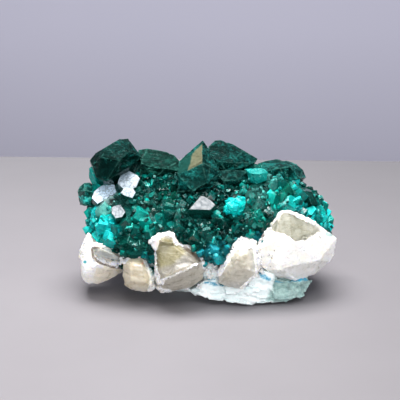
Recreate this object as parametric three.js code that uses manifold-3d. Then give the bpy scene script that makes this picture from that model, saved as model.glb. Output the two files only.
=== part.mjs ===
// A hand specimen of dioptase on calcite: emerald green dioptase crystals over a druse of smaller ones,
// with cream calcite crystals along the foot, all grown on a piece of pale host rock that rests on its flat underside.
// Millimetres, +Z up, +X to the right, -Y towards the front. The origin is under the middle of the specimen, on the surface it rests on.

import * as THREE from "three";
import { ConvexGeometry } from "three/addons/geometries/ConvexGeometry.js";
import { mergeVertices } from "three/addons/utils/BufferGeometryUtils.js";
import Module from "manifold-3d";

const wasm = await Module();
wasm.setup();

// ---- driving dimensions, mm ----
const SPREAD_LEFT = 23.4; // how far the druse reaches to the left
const SPREAD_RIGHT = 24.8; // and to the right
const DEPTH_FRONT = 13.2; // how far it reaches forward from its middle
const DEPTH_BACK = 12.2; // and backward
const DRUSE_FOOT = 11; // height of the druse's widest level
const DRUSE_RISE = 12.8; // how far the druse rises above that level
const DRUSE_DROP = 4.2; // how far it hangs below it
const DRUSE_BACK = 1.2; // how far behind the origin its middle lies
const ROCK_MIDDLE = [2, 1.6, 7.6]; // middle of the host rock's boulder
const ROCK_HALF = [18, 11.4, 6.4]; // and its half lengths
const GAP = 0.2; // clearance between neighbouring pieces
const ORIGIN = [0.1664, -0.5, 0]; // moves the finished specimen so that it is centred over the origin

// The front view the outlines are drawn in: 400 units square, looking VIEW_TILT down at VIEW_AIM from VIEW_FAR away.
const VIEW_TILT = THREE.MathUtils.degToRad(16);
const VIEW_FAR = 300;
const VIEW_UNITS = 1500; // units for a slope of 1
const VIEW_AIM = new THREE.Vector3(-1.4, 0, 18.7);

const COLOURS = {
  dioptase: { color: 0x0f5a48, roughness: 0.12, metalness: 0 },
  bright: { color: 0x14b3a4, roughness: 0.2, metalness: 0 },
  druse: { color: 0x0d6f5e, roughness: 0.22, metalness: 0 },
  calcite: { color: 0xdbcfae, roughness: 0.5, metalness: 0 },
  rock: { color: 0xe4ecea, roughness: 0.85, metalness: 0 },
};

// ---- the front view ----
const eye = new THREE.Vector3(
  VIEW_AIM.x,
  VIEW_AIM.y - VIEW_FAR * Math.cos(VIEW_TILT),
  VIEW_AIM.z + VIEW_FAR * Math.sin(VIEW_TILT),
);
function ray(u, v) {
  const a = (u - 200) / VIEW_UNITS,
    b = (200 - v) / VIEW_UNITS;
  return new THREE.Vector3(
    a,
    Math.cos(VIEW_TILT) + b * Math.sin(VIEW_TILT),
    -Math.sin(VIEW_TILT) + b * Math.cos(VIEW_TILT),
  );
}
// The point seen at u, v that lies at depth y.
function front(u, v, y) {
  const d = ray(u, v);
  return d.clone().multiplyScalar((y - eye.y) / d.y).add(eye);
}
// The point seen at u, v on the plane through p with normal n.
function onPlane(u, v, p, n) {
  const d = ray(u, v);
  const t = p.clone().sub(eye).dot(n) / d.dot(n);
  return d.multiplyScalar(t).add(eye);
}

// ---- the druse's outer skin, a domed crust: 1 on the skin, less inside ----
function dome(p) {
  const upper = p.z > DRUSE_FOOT,
    y = p.y - DRUSE_BACK;
  const lump =
    0.04 * Math.sin(p.x * 0.55 + 1.3) * Math.cos(p.z * 0.5 - p.y * 0.3) +
    0.03 * Math.sin(p.y * 0.7 + p.x * 0.31 + 0.4);
  return (
    (p.x < 0 ? Math.pow(-p.x / SPREAD_LEFT, 8) : Math.pow(p.x / SPREAD_RIGHT, 4.5)) +
    (y < 0 ? Math.pow(-y / DEPTH_FRONT, upper ? 1.4 : 2.2) : Math.pow(y / DEPTH_BACK, 2.2)) +
    Math.pow(Math.abs(p.z - DRUSE_FOOT) / (upper ? DRUSE_RISE : DRUSE_DROP), upper ? 1.4 : 2.2) +
    lump
  );
}
function domeNormal(p) {
  const e = 0.05,
    g = new THREE.Vector3();
  for (const k of ["x", "y", "z"]) {
    const a = p.clone(),
      b = p.clone();
    a[k] += e;
    b[k] -= e;
    g[k] = dome(a) - dome(b);
  }
  return g.normalize();
}
// The skin seen at u, v, or the point nearest to it where the view passes beside the druse.
function skin(u, v) {
  let best = null,
    least = 1e9;
  for (let y = -22; y <= 20; y += 0.1) {
    const p = front(u, v, y),
      f = dome(p);
    if (f < 1) return p;
    if (f < least) ((least = f), (best = p));
  }
  return best;
}

// ---- solids ----
const solidOf = (geometry) => {
  const g = (geometry.index ? geometry.toNonIndexed() : geometry).clone();
  for (const k of Object.keys(g.attributes))
    if (k !== "position") g.deleteAttribute(k);
  const m = mergeVertices(g, 1e-4);
  return new wasm.Manifold(
    new wasm.Mesh({
      numProp: 3,
      vertProperties: new Float32Array(m.attributes.position.array),
      triVerts: new Uint32Array(m.index.array),
    }),
  );
};
const convex = (points) => solidOf(new ConvexGeometry(points));
// The faces of a convex solid as planes, widened by d.
function planesOf(solid, d = 0) {
  const m = solid.getMesh(),
    n = m.numProp,
    at = (i) =>
      new THREE.Vector3(
        m.vertProperties[i * n],
        m.vertProperties[i * n + 1],
        m.vertProperties[i * n + 2],
      );
  const corners = Array.from({ length: m.numVert }, (_, i) => at(i));
  const planes = [];
  for (let t = 0; t < m.triVerts.length; t += 3) {
    const [a, b, c] = [0, 1, 2].map((k) => corners[m.triVerts[t + k]]);
    const normal = b.clone().sub(a).cross(c.clone().sub(a));
    if (normal.length() < 1e-3) continue;
    normal.normalize();
    const w = Math.max(...corners.map((p) => normal.dot(p)));
    if (!planes.some((p) => p.normal.dot(normal) > 0.99995))
      planes.push({ normal, w: w + d });
  }
  return planes;
}
// The convex body inside a set of planes.
function within(planes, centre) {
  const big = new THREE.BoxGeometry(120, 120, 120);
  big.translate(centre.x, centre.y, centre.z);
  let s = solidOf(big);
  for (const { normal, w } of planes)
    s = s.trimByPlane([-normal.x, -normal.y, -normal.z], -w);
  return s;
}
function centreOf(solid) {
  const b = solid.boundingBox();
  return new THREE.Vector3(
    (b.min[0] + b.max[0]) / 2,
    (b.min[1] + b.max[1]) / 2,
    (b.min[2] + b.max[2]) / 2,
  );
}
const grown = (solid, d = GAP) => within(planesOf(solid, d), centreOf(solid));

// ---- seeded random numbers ----
function seeded(seed) {
  let a = seed >>> 0;
  return () => {
    a = (a + 0x6d2b79f5) >>> 0;
    let t = Math.imul(a ^ (a >>> 15), 1 | a);
    t = (t + Math.imul(t ^ (t >>> 7), 61 | t)) ^ t;
    return ((t ^ (t >>> 14)) >>> 0) / 4294967296;
  };
}

// A dioptase crystal in its habit: a six-sided prism closed by three rhombic faces, which slope 51 degrees.
// tip is its top, axis points from root to tip, r is the prism's half width over its edges, length runs from root to tip.
function habit(tip, axis, r, length, spin) {
  const z = axis.clone().normalize();
  const x = new THREE.Vector3(0, 0, 1).cross(z);
  if (x.length() < 0.1) x.set(1, 0, 0);
  x.normalize();
  const y = z.clone().cross(x);
  const points = [tip.clone()];
  for (let k = 0; k < 6; k++) {
    const a = spin + (k * Math.PI) / 3,
      drop = (k % 2 ? 0.617 : 1.235) * r;
    const side = x
      .clone()
      .multiplyScalar(r * Math.cos(a))
      .addScaledVector(y, r * Math.sin(a));
    points.push(tip.clone().add(side).addScaledVector(z, -drop));
    points.push(tip.clone().add(side).addScaledVector(z, -length));
  }
  return points;
}

// ---- the large crystals, each as the corners of its convex body: [u, v, depth from its own reference depth] ----
function body(reference, corners) {
  return corners.map(([u, v, y]) => front(u, v, reference + y));
}
const LARGE = {
  dioptase_top_left: body(-0.6, [
    [96, 177, -1.2], [106, 181.5, -1.8], [118, 174, -1.8], [130, 167, -1], [119.6, 160.4, -2.8], [101, 157.5, -2.1],
    [91.8, 165, -0.4], [107, 146.5, 0], [119.6, 138.9, 2.2], [128.2, 138.4, 3], [142, 157, 2.6], [137, 150, 3.4],
    [129.5, 151, 0], [89.6, 160.5, 1.4], [95.2, 153.2, 1.3], [100, 151, 1.4], [98, 162, 8], [114, 144, 8.6],
    [128, 141, 8.8], [139, 158, 8.2], [122, 176, 7], [100, 178, 6], [91, 166, 5], [104, 190, 4], [122, 189, 4.5],
  ]),
  dioptase_top_long: body(1.2, [
    [138, 150, 3.2], [147, 148.4, 3.4], [156.4, 149.8, 3.4], [166.6, 152, 3.1], [174.6, 155.4, 2.7], [179.4, 161, 1.4],
    [141, 163, -1.2], [151, 166.8, -2.2], [165, 168.6, -2.2], [178.6, 170.5, -1.1], [140, 175, -0.2], [155, 178, -0.7],
    [176.5, 176, -0.1], [141, 158, 7.5], [172, 161, 7.5], [172, 174, 6.5], [142, 173, 6.5], [150, 190, 3.5], [170, 190, 3.5],
  ]),
  dioptase_top_centre: body(-2.4, [
    [202.7, 140.2, 3.6], [178.6, 161, 1], [177.2, 174, -1.7], [201.8, 161, -0.8], [206.9, 146, 4.2], [210.5, 166.5, -0.4],
    [221, 173, 0.8], [225, 182, 1.2], [178, 192, -2.8], [193, 191, -3.6], [207, 183.5, -3], [184, 203.5, -1.2],
    [196, 198.4, -1.4], [207, 193.5, -0.8], [222, 187, 0.6], [182, 168, 7], [204, 151, 8], [221, 174, 7.5], [190, 198, 6],
  ]),
  dioptase_under_right: body(-0.6, [
    [214, 171, -0.2], [232, 169.5, -0.8], [247, 171, -0.2], [250.5, 182, -0.6], [243, 190, -1.6], [231, 196, -1.8],
    [222, 199, -1.2], [212, 193, -0.8], [224, 181, -3], [238, 180, -2.6], [216, 172, 6], [248, 173, 6.5], [240, 192, 5.5],
    [216, 196, 5.5],
  ]),
  dioptase_top_right: body(1.4, [
    [206.4, 148.5, 0.8], [215.2, 140.3, 3.6], [220.5, 140, 3.8], [233.2, 144.4, 3.4], [243.2, 151, 2.4], [231, 162.4, -1],
    [219.6, 161.2, -1.6], [207, 156, -0.9], [257.8, 158.8, 2.4], [254.5, 163, 1.4], [240, 168.2, -0.7], [226, 170.6, -1.5],
    [213, 166, -1.3], [211, 150, 9], [234, 149, 9.5], [253, 160, 8.5], [238, 170, 7.5], [213, 166, 7.5], [224, 184, 5],
    [242, 184, 5],
  ]),
  dioptase_right_shoulder: body(3, [
    [257.5, 163.5, 1.4], [265, 161.2, 2.4], [276.4, 159, 3], [287.4, 160.8, 3], [296.4, 164, 2.4], [303, 170, 1.6],
    [306, 177.5, 1.4], [266, 171, -1.6], [280, 168, -2], [289.6, 166.4, -1.6], [300, 178, -1.2], [286, 181, -2.2],
    [268, 179, -1.6], [262, 168, 8], [290, 167, 9], [303, 175, 8], [282, 184, 8], [274, 192, 4], [294, 192, 4],
  ]),
  dioptase_left_edge: body(2.2, [
    [77.6, 191.6, 1], [79.6, 186.8, 1.4], [84, 183, 1.2], [90, 182.4, 1], [94.2, 185, 0.6], [85, 190, -1.6],
    [92.6, 192, -1.2], [79.5, 205, 0.8], [84.5, 206, -1.2], [91, 206, -0.6], [80, 188, 5], [92, 185, 5.5], [81, 204, 5],
    [90, 206, 5],
  ]),
};

// Faces turned alike, tilted 50 degrees up and facing the front: the flat ends of crystals that stand in parallel.
const SHINING = new THREE.Vector3(0, -0.648, 0.761);
function plated(reference, turn, outline, height, shrink = 0.72) {
  const n = SHINING.clone()
    .applyAxisAngle(new THREE.Vector3(0, 0, 1), turn[0])
    .applyAxisAngle(new THREE.Vector3(1, 0, 0), turn[1]);
  const cu = outline.reduce((s, p) => s + p[0], 0) / outline.length,
    cv = outline.reduce((s, p) => s + p[1], 0) / outline.length;
  const centre = skin(cu, cv);
  centre.y += reference;
  const mid = front(cu, cv, centre.y);
  const top = outline.map(([u, v]) => onPlane(u, v, mid, n));
  const low = top.map((p) =>
    p.clone().sub(mid).multiplyScalar(shrink).add(mid).addScaledVector(n, -height),
  );
  const waist = top.map((p) => p.clone().addScaledVector(n, -height * 0.45));
  return [...top, ...waist, ...low];
}
LARGE.dioptase_plate_upper = plated(-1.6, [0.01, 0.0], [[118, 181], [122.8, 169.8], [128, 170.2], [137.2, 175], [140.2, 178.4], [136.3, 187.2], [132.5, 188.6], [122.5, 188.4], [117.6, 184]], 4.2);
LARGE.dioptase_plate_lower = plated(-1.9, [-0.015, 0.01], [[120.2, 193], [124.4, 187.2], [133.4, 188.2], [135.8, 192.4], [132.6, 198.2], [125, 195.8]], 3.8);
LARGE.dioptase_plate_left = plated(-1.3, [0.02, -0.01], [[91.6, 198], [94, 191.4], [101, 185.8], [111.4, 181.4], [114.6, 185], [117, 192.4], [112, 195.4], [101, 199.6], [97.5, 204]], 4);
LARGE.dioptase_plate_centre = plated(-1.6, [-0.02, 0.015], [[188.8, 209.4], [200.6, 196], [204.6, 196.4], [212, 201.2], [215.4, 205], [210.2, 210]], 3.6, 0.8);
LARGE.dioptase_plate_small = plated(-0.9, [0.0, 0.02], [[111.4, 207.5], [114, 205.8], [120.4, 204.4], [125.6, 212], [122, 217], [115.6, 218.4], [111.6, 213]], 3);

// Brighter, clearer crystals set in the druse.
LARGE.dioptase_bright_centre = body(skin(234, 206).y + 0.4, [
  [222.2, 208.5, -1.6], [226.5, 203, -1], [230, 198.2, 0], [239, 197, 0.2], [244.6, 196.6, 0.5], [246, 203, -0.4],
  [242.6, 210, -1.2], [236.5, 216.2, -1.6], [227, 213.6, -2], [232, 207, -2.8], [227, 205, 4], [243, 200, 4], [236, 213, 3.6],
]);
LARGE.dioptase_teal_left = body(1, [
  [88.8, 168.6, 0.4], [92, 166, 0.6], [96, 170, 0.2], [99, 178, -0.4], [97.4, 184.6, -0.6], [92, 184, -0.2], [89, 178, 0.2],
  [94, 176, -1], [90, 169, 4], [97, 172, 4], [98, 183, 4], [91, 182, 4],
]);
LARGE.dioptase_teal_block = body(skin(256, 176).y - 0.2, [
  [245.5, 169, 0.2], [253, 168, 0.6], [261.6, 167.2, 1], [268, 172, 0.6], [266.5, 180.6, -1], [257, 184, -1.8],
  [247, 182, -1.4], [250, 173, -2.4], [262, 174, -2.2], [248, 171, 5], [266, 172, 5.4], [262, 182, 4.4], [249, 182, 4.4],
]);

// Large crystals of the back and the sides: [x, y, z of the tip, axis, half width, length, spin]
const AROUND = {
  dioptase_back_left: [[-13.5, 9.6, 24.6], [-0.25, 0.55, 0.8], 4.1, 10.5, 0.3],
  dioptase_back_centre: [[-1.6, 12.6, 22.8], [0.1, 0.8, 0.6], 4.6, 11.5, 0.9],
  dioptase_back_right: [[9.6, 11.2, 22.4], [0.25, 0.7, 0.66], 3.9, 10.5, 0.1],
  dioptase_back_low: [[4.2, 15.6, 16.4], [0.1, 0.96, 0.25], 3.2, 8.5, 1.3],
  dioptase_right_back: [[21.8, 8.4, 17.6], [0.72, 0.45, 0.53], 3.3, 8.5, 0.6],
  dioptase_left_back: [[-24.4, 7.8, 17.6], [-0.8, 0.35, 0.45], 3.2, 8.5, 0.2],
};
for (const [name, [tip, axis, r, length, spin]] of Object.entries(AROUND))
  LARGE[name] = habit(new THREE.Vector3(...tip), new THREE.Vector3(...axis), r, length, spin);

// ---- calcite crystals along the foot ----
const CALCITE = {
  calcite_left: body(-6.2, [
    [88.4, 234, 1.2], [83.3, 244.6, 0.4], [80.1, 253, 0.4], [80.4, 264, 0.2], [81.6, 276.5, 0.2], [84.8, 282.4, 0.6],
    [88, 283.4, 0.8], [97, 284, 1.4], [107, 280.6, 1.6], [116, 276, 2], [122.6, 271.5, 2.4], [122.6, 262.8, -0.4],
    [120, 260.5, -0.6], [107, 257, -1], [97, 265, -3.2], [93, 252, -1.4], [84, 273, -1.6], [108, 268, -1.8],
    [88, 238, 8], [83, 262, 8], [86, 280, 7], [118, 272, 8], [120, 256, 8],
  ]),
  calcite_sliver: body(-8.4, [
    [92.6, 244.8, 0], [96, 243.4, 0.2], [108.2, 244.8, -0.2], [119.6, 252.6, -0.2], [124.6, 259, 0.4], [115.8, 261.2, -0.4],
    [94.4, 254.4, 0], [100, 249, -1.4], [112, 254, -1.6], [97, 247, 4], [118, 256, 4], [100, 256, 3.4],
  ]),
  calcite_stub: body(-10.6, [
    [123.6, 261.4, 0.4], [122.8, 276.4, 0.6], [124.8, 284.8, 1], [129.4, 288.8, 1.2], [136, 291.4, 1.2], [145.2, 292, 1.2],
    [153.8, 289.2, 1], [154.4, 276, 0.4], [148, 267, 0], [143.4, 257.6, 0.6], [138.6, 254.8, 1], [130.6, 255.6, 1],
    [126, 257.8, 0.8], [130, 265, -1.4], [141, 266, -1.6], [131, 281, -1.2], [146, 282, -1.3], [126, 265, 7], [142, 260, 7],
    [150, 284, 6.5], [128, 284, 6.5],
  ]),
  calcite_front: body(-12.6, [
    [158.6, 239, 1], [166, 235.6, 1.8], [174.6, 238, 2.2], [176, 243.4, 1.4], [187.4, 249.2, 1], [196.4, 250.4, 1.8],
    [200.4, 255.4, 1.4], [204.2, 262, 1], [204.4, 269, 0.6], [202.4, 279, 1.2], [189.6, 287.8, 1.4], [175.6, 291, 1.4],
    [160.4, 292.6, 1.6], [156.8, 289, 1.4], [160, 277.6, -0.4], [155.6, 268, 0.6], [155.6, 252, 0.6], [165, 277.4, -2.6],
    [178.4, 269, -3.4], [196, 264.6, -1.6], [184, 256, -1.2], [160, 246, 8], [198, 258, 8], [198, 282, 7.5], [162, 288, 7.5],
  ]),
  calcite_middle: body(-12.4, [
    [218, 271.6, 0.6], [223.4, 261, 0.8], [230.6, 250, 1.2], [236.8, 240.4, 1.8], [242, 237, 2.2], [248, 237.4, 2.2],
    [255.4, 241.6, 1.8], [256.4, 250, 0.8], [259.6, 264, 0.2], [258, 272.6, 0], [250.4, 280.6, 0], [241.4, 289, 0.4],
    [228, 287.2, 0.6], [218, 282.4, 0.6], [240, 256, -2], [246, 268, -1.8], [230, 272, -1.2], [226, 262, 8], [250, 246, 8],
    [254, 272, 7.5], [226, 280, 7],
  ]),
  calcite_right: body(-9.8, [
    [280.6, 211.6, 1.2], [289, 211, 1.4], [301.6, 217.6, 1.8], [314.2, 221, 2.6], [319, 231, 2.4], [337, 238, 5.4],
    [335, 248.6, 5.4], [331, 259.6, 5.2], [322, 267.4, 4], [313.6, 275.4, 3], [296, 280, 1.4], [275.4, 277.4, 0.4],
    [266.4, 270.6, 0], [263.6, 252, 0], [265, 245, 0.2], [262.6, 236.6, 1.4], [270.4, 226.4, 2], [276.4, 219, 2.6],
    [279, 268.4, -2.6], [319, 260, 1], [276.5, 233, -1.2], [312, 236, 0.6], [291, 241, -1.9], [284, 222, 11], [330, 244, 12],
    [322, 264, 11], [276, 270, 9],
  ]),
};
// Calcite crystals of the back and the right flank: corners in x, y, z.
// Lumps that are one with their neighbour.
const CALCITE_LUMPS = {
  calcite_front: body(-12.2, [
    [148.8, 241, 0.6], [152.4, 236.6, 0.8], [160, 233.4, 1], [169.4, 232, 1.2], [174.6, 235, 0.8], [176, 241.6, 0],
    [166, 247, -1.6], [157, 252, -0.8], [152, 246, 0], [160, 239, -1.4], [154, 240, 5], [172, 238, 5], [160, 252, 5],
  ]),
  calcite_right: body(-11.6, [
    [254.8, 250.6, 0.4], [261.6, 239.4, 1.2], [263.8, 233.8, 1.4], [270.2, 226.8, 1.6], [276, 240, 0.4], [270, 262, 0],
    [266.4, 270.4, 0.6], [258, 262, 0.6], [266, 246, -0.6], [262, 244, 5], [270, 234, 5], [264, 262, 5],
  ]),
};
const CALCITE_BACK = {
  calcite_back_left: [
    [-17.5, 11, 12.6], [-9.6, 14.2, 13.8], [-5.6, 15.6, 9.2], [-7, 13, 2.6], [-16.2, 12, 2.2], [-20.2, 9, 6.6], [-12.6, 17, 7.6],
    [-12.4, 15.4, 11.6], [-16, 6, 11], [-7, 7, 10.4], [-8, 7, 3.4], [-18, 6, 4],
  ],
  calcite_back_right: [
    [9.2, 14.4, 10.6], [15.6, 12.6, 12.8], [20.8, 9.6, 10], [20.4, 9.2, 3.6], [12, 13, 2.2], [8, 13.4, 5], [14.8, 16.2, 6.6],
    [9.4, 7, 10], [18, 5, 10.6], [18, 5, 4], [10, 7, 3.6],
  ],
};
for (const [name, corners] of Object.entries(CALCITE_BACK))
  CALCITE[name] = corners.map((c) => new THREE.Vector3(...c));

// ---- host rock: a lumpy boulder cut flat underneath, with a ledge towards the front right ----
function lumpy(centre, half, power, across, down, seed) {
  const g = new THREE.SphereGeometry(1, across, down);
  const p = g.attributes.position,
    v = new THREE.Vector3();
  for (let i = 0; i < p.count; i++) {
    v.fromBufferAttribute(p, i).normalize();
    const f = Math.pow(
      Math.pow(Math.abs(v.x), power) +
        Math.pow(Math.abs(v.y), power) +
        Math.pow(Math.abs(v.z), power),
      -1 / power,
    );
    const lump =
      1 +
      0.045 * Math.sin(5 * v.x + 3 * v.z + seed) +
      0.04 * Math.cos(7 * v.y - 4 * v.x + seed * 2) +
      0.03 * Math.sin(9 * v.z + 6 * v.y + seed);
    v.multiplyScalar(f * lump);
    p.setXYZ(i, centre[0] + v.x * half[0], centre[1] + v.y * half[1], centre[2] + v.z * half[2]);
  }
  return solidOf(g);
}
const LEDGE = body(-8.4, [
  [184, 289.4, -0.8], [188.6, 293.4, -1.4], [202.4, 297.4, -1.8], [215.2, 299.8, -2.2], [245, 306, -2.8], [254.4, 307, -2.8],
  [268, 306.2, -2.4], [279.4, 303, -1.6], [292, 301.4, -0.8], [303, 294, 1], [305, 285.6, 2.2], [314, 280, 3.6],
  [218, 276, -1.6], [262, 270, -2.4], [300, 276, 0], [186, 283, 0.4], [190, 284, 12], [240, 280, 14], [300, 280, 12],
]);
const BASE_BLOCK = [
  [-14, -3, 4.4], [-7, -5.6, 4], [14, -8.6, 2], [19, -4, 3], [20, 6, 4], [12, 12.4, 4], [-10, 12.4, 4], [-18.5, 6, 4.4],
  [-9, -0.6, -1], [2, -3.6, -1], [12, -7, -1], [15.5, 4, -1], [6, 10.4, -1], [-10, 9, -1], [-13, 4, -1], [-14.5, -4, 9],
  [17, -6, 9], [16, 8, 10], [-15, 8, 10],
].map((c) => new THREE.Vector3(...c));

let rock = lumpy(ROCK_MIDDLE, ROCK_HALF, 2.6, 28, 14, 0.7)
  .add(convex(BASE_BLOCK))
  .add(convex(LEDGE));
rock = rock.trimByPlane([0, 0, 1], 0);

// ---- the druse: a domed crust with its smaller crystals standing on it ----
const CRUST_ACROSS = 34,
  CRUST_DOWN = 18;
function crust() {
  const g = new THREE.SphereGeometry(1, CRUST_ACROSS, CRUST_DOWN);
  const p = g.attributes.position,
    v = new THREE.Vector3(),
    middle = new THREE.Vector3(0, DRUSE_BACK, DRUSE_FOOT + 1);
  for (let i = 0; i < p.count; i++) {
    v.fromBufferAttribute(p, i).normalize();
    let low = 0,
      high = 60;
    for (let k = 0; k < 40; k++) {
      const r = (low + high) / 2;
      if (dome(middle.clone().addScaledVector(v, r)) < 1) low = r;
      else high = r;
    }
    v.multiplyScalar(low).add(middle);
    p.setXYZ(i, v.x, v.y, v.z);
  }
  return solidOf(g);
}

// The druse's middle-sized crystals: those of the front by where they are seen, [u, v, lift, half width, lean to the right, lean up, spin]
const PLACED = [
  [86, 212, 0.7, 1.5, -0.5, 0.2, 0.2], [91, 226, 0.7, 1.4, -0.5, -0.1, 0.9], [97, 213, 1.5, 1.7, -0.3, 0.5, 0.5],
  [104, 226, 1.9, 1.9, -0.2, 0.4, 1.2], [97, 236, 1.4, 1.6, -0.4, 0.1, 0.1], [109, 240, 1.4, 1.7, 0.1, 0.1, 0.7],
  [117, 230, 1.6, 1.8, 0.2, 0.3, 1.6], [127, 224, 1.7, 1.7, 0.2, 0.5, 0.4], [140, 215, 1.9, 2, 0.1, 0.6, 0.8],
  [137, 229, 1.5, 1.7, -0.3, 0.2, 1.1], [127, 243, 1.6, 2.1, 0.4, -0.2, 0.3], [141, 246, 1.3, 1.8, 0.3, -0.1, 0.6],
  [150, 234, 1.6, 1.7, 0.2, 0.3, 1.9], [152, 203, 1.2, 1.6, -0.2, 0.7, 0.2], [150, 190, 1.3, 1.9, 0.1, 0.7, 0.5],
  [165, 188, 1.5, 2.1, 0.1, 0.8, 1.3], [164, 204, 1.4, 1.9, -0.1, 0.6, 0.9], [163, 219, 1.6, 1.9, 0.3, 0.4, 1.5],
  [176, 214, 1.4, 1.7, 0.2, 0.5, 0.1], [178, 228, 1.6, 1.9, -0.1, 0.3, 0.8], [192, 222, 1.9, 2.3, -0.1, 0.4, 1],
  [207, 218, 2.1, 2.7, 0.1, 0.5, 0.3], [223, 223, 1.9, 2.3, 0.2, 0.4, 1.4], [194, 238, 1.5, 1.8, -0.1, 0.2, 0.4],
  [210, 236, 1.6, 1.9, 0.1, 0.2, 1.7], [227, 238, 1.3, 1.6, 0.2, 0.2, 0.6], [213, 250, 1.1, 1.4, 0, 0, 1],
  [238, 226, 1.6, 1.9, 0.2, 0.3, 1.2], [252, 222, 1.9, 2.2, 0.1, 0.4, 0.2], [257, 206, 1.7, 1.9, 0.2, 0.6, 0.7],
  [250, 195, 1.4, 1.5, -0.1, 0.7, 1.6], [262, 192, 1.7, 1.8, 0.2, 0.6, 0.9], [274, 184, 1.5, 1.8, 0.2, 0.7, 0.4],
  [273, 200, 1.7, 2, 0.3, 0.5, 1.1], [264, 234, 1.1, 1.4, 0.1, 0.1, 0.5], [286, 190, 1.7, 2, 0.4, 0.6, 0.2],
  [284, 206, 1.5, 1.7, 0.3, 0.4, 1.4], [299, 187, 1.5, 1.8, 0.5, 0.6, 0.8], [298, 201, 1.8, 2, 0.4, 0.4, 0.1],
  [312, 196, 1.8, 2.1, 0.6, 0.5, 1.3], [311, 211, 1.6, 1.7, 0.5, 0.2, 0.6], [323, 205, 1.4, 1.8, 0.8, 0.3, 1],
  [322, 219, 1.3, 1.6, 0.7, 0.1, 0.3], [331, 220, 0.6, 1.4, 0.9, 0.1, 0.9], [116, 220, 1.2, 1.4, 0.1, 0.5, 0.6],
  [146, 256, 0.9, 1.3, 0.2, -0.2, 0.2], [182, 241, 1, 1.3, 0, 0.1, 0.5], [151, 263, 0.4, 1.5, 0.1, -0.4, 0.9],
];
function placed() {
  return PLACED.map(([u, v, lift, r, right, up, spin]) => {
    const at = skin(u, v),
      axis = domeNormal(at).add(new THREE.Vector3(right, -0.35, up).multiplyScalar(0.6)).normalize();
    return habit(at.clone().addScaledVector(axis, lift), axis, r, lift + 2.4, spin);
  });
}
// The rest, over the top, the sides and the back.
function scattered() {
  const random = seeded(1907),
    made = [];
  const n = 96;
  for (let i = 0; i < n; i++) {
    const z = 1 - (i + 0.5) * (1.75 / n),
      a = i * 2.399963,
      s = Math.sqrt(Math.max(0, 1 - z * z));
    const d = new THREE.Vector3(s * Math.cos(a) * 1.5, s * Math.sin(a), z * 1.1 + 0.12).normalize();
    const [r1, r2, r3, r4, r5] = [random(), random(), random(), random(), random()];
    const middle = new THREE.Vector3(0, DRUSE_BACK, DRUSE_FOOT + 1);
    let low = 0,
      high = 60;
    for (let k = 0; k < 40; k++) {
      const r = (low + high) / 2;
      if (dome(middle.clone().addScaledVector(d, r)) < 1) low = r;
      else high = r;
    }
    const at = middle.addScaledVector(d, low);
    if (at.y < -1.5 || at.z < 8.5) continue;
    const axis = domeNormal(at)
      .add(new THREE.Vector3((r1 - 0.5) * 0.9, (r2 - 0.5) * 0.9, (r3 - 0.3) * 0.8))
      .normalize();
    const r = 1.3 + 1.1 * r4 * r4,
      lift = 0.7 + r4 * 1.1;
    made.push(habit(at.clone().addScaledVector(axis, lift), axis, r, lift + 2.2, r5 * 2));
  }
  return made;
}

// ---- put together ----
const largeSolids = Object.fromEntries(Object.entries(LARGE).map(([k, p]) => [k, convex(p)]));
const calciteParts = Object.fromEntries(
  Object.entries(CALCITE).map(([k, p]) => [k, [p, ...(CALCITE_LUMPS[k] ? [CALCITE_LUMPS[k]] : [])].map(convex)]),
);

// Crystals that grow into each other are one solid.
const JOINED = { dioptase_top_centre: ["dioptase_under_right"], dioptase_plate_upper: ["dioptase_plate_lower"] };
const whole = {};
const cutters = [];
for (const [name, solid] of Object.entries(largeSolids)) {
  if (Object.values(JOINED).flat().includes(name)) continue;
  const parts = [solid, ...(JOINED[name] || []).map((k) => largeSolids[k])];
  let s = parts[0];
  for (const q of parts.slice(1)) s = s.add(q);
  whole[name] = { solid: s, parts };
}
const largest = (s) => s.decompose().sort((a, b) => b.volume() - a.volume())[0];
const nodes = new Map();
function cutBy(solid, takers) {
  for (const t of takers) if (solid.intersect(t).volume() > 1e-6) solid = solid.subtract(t);
  return solid;
}
// Calcite first: each keeps its own shape, less those before it. Then the large dioptase crystals.
for (const [name, parts] of Object.entries(calciteParts)) {
  const solid = parts.reduce((a, b) => a.add(b));
  nodes.set(name, largest(cutBy(solid, cutters)));
  for (const p of parts) cutters.push(grown(p));
}
for (const [name, { solid, parts }] of Object.entries(whole)) {
  const s = largest(cutBy(solid, cutters));
  nodes.set(name, s);
  for (const p of parts) cutters.push(grown(p));
}
rock = largest(cutBy(rock, cutters));
nodes.set("host_rock", rock);

let druse = crust();
for (const points of [...placed(), ...scattered()]) druse = druse.add(convex(points));
druse = cutBy(druse, cutters);
// The crust sits on the rock with the same clearance.
const rockFlat = [lumpy(ROCK_MIDDLE, ROCK_HALF.map((h) => h + GAP * 1.3), 2.6, 28, 14, 0.7), grown(convex(BASE_BLOCK)), grown(convex(LEDGE))];
druse = largest(cutBy(druse, rockFlat));
nodes.set("dioptase_druse", druse);

// ---- the group of named meshes ----
function geometryOf(solid) {
  const m = solid.getMesh(),
    n = m.numProp,
    v = new Float32Array(m.numVert * 3);
  for (let i = 0; i < m.numVert; i++) v.set(m.vertProperties.subarray(i * n, i * n + 3), i * 3);
  const g = new THREE.BufferGeometry()
    .setAttribute("position", new THREE.BufferAttribute(v, 3))
    .setIndex(new THREE.BufferAttribute(new Uint32Array(m.triVerts), 1));
  g.computeVertexNormals();
  return g;
}
const finish = (name) =>
  name.startsWith("calcite") ? "calcite" : name === "host_rock" ? "rock" : name === "dioptase_druse" ? "druse" : /bright|teal/.test(name) ? "bright" : "dioptase";

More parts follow.
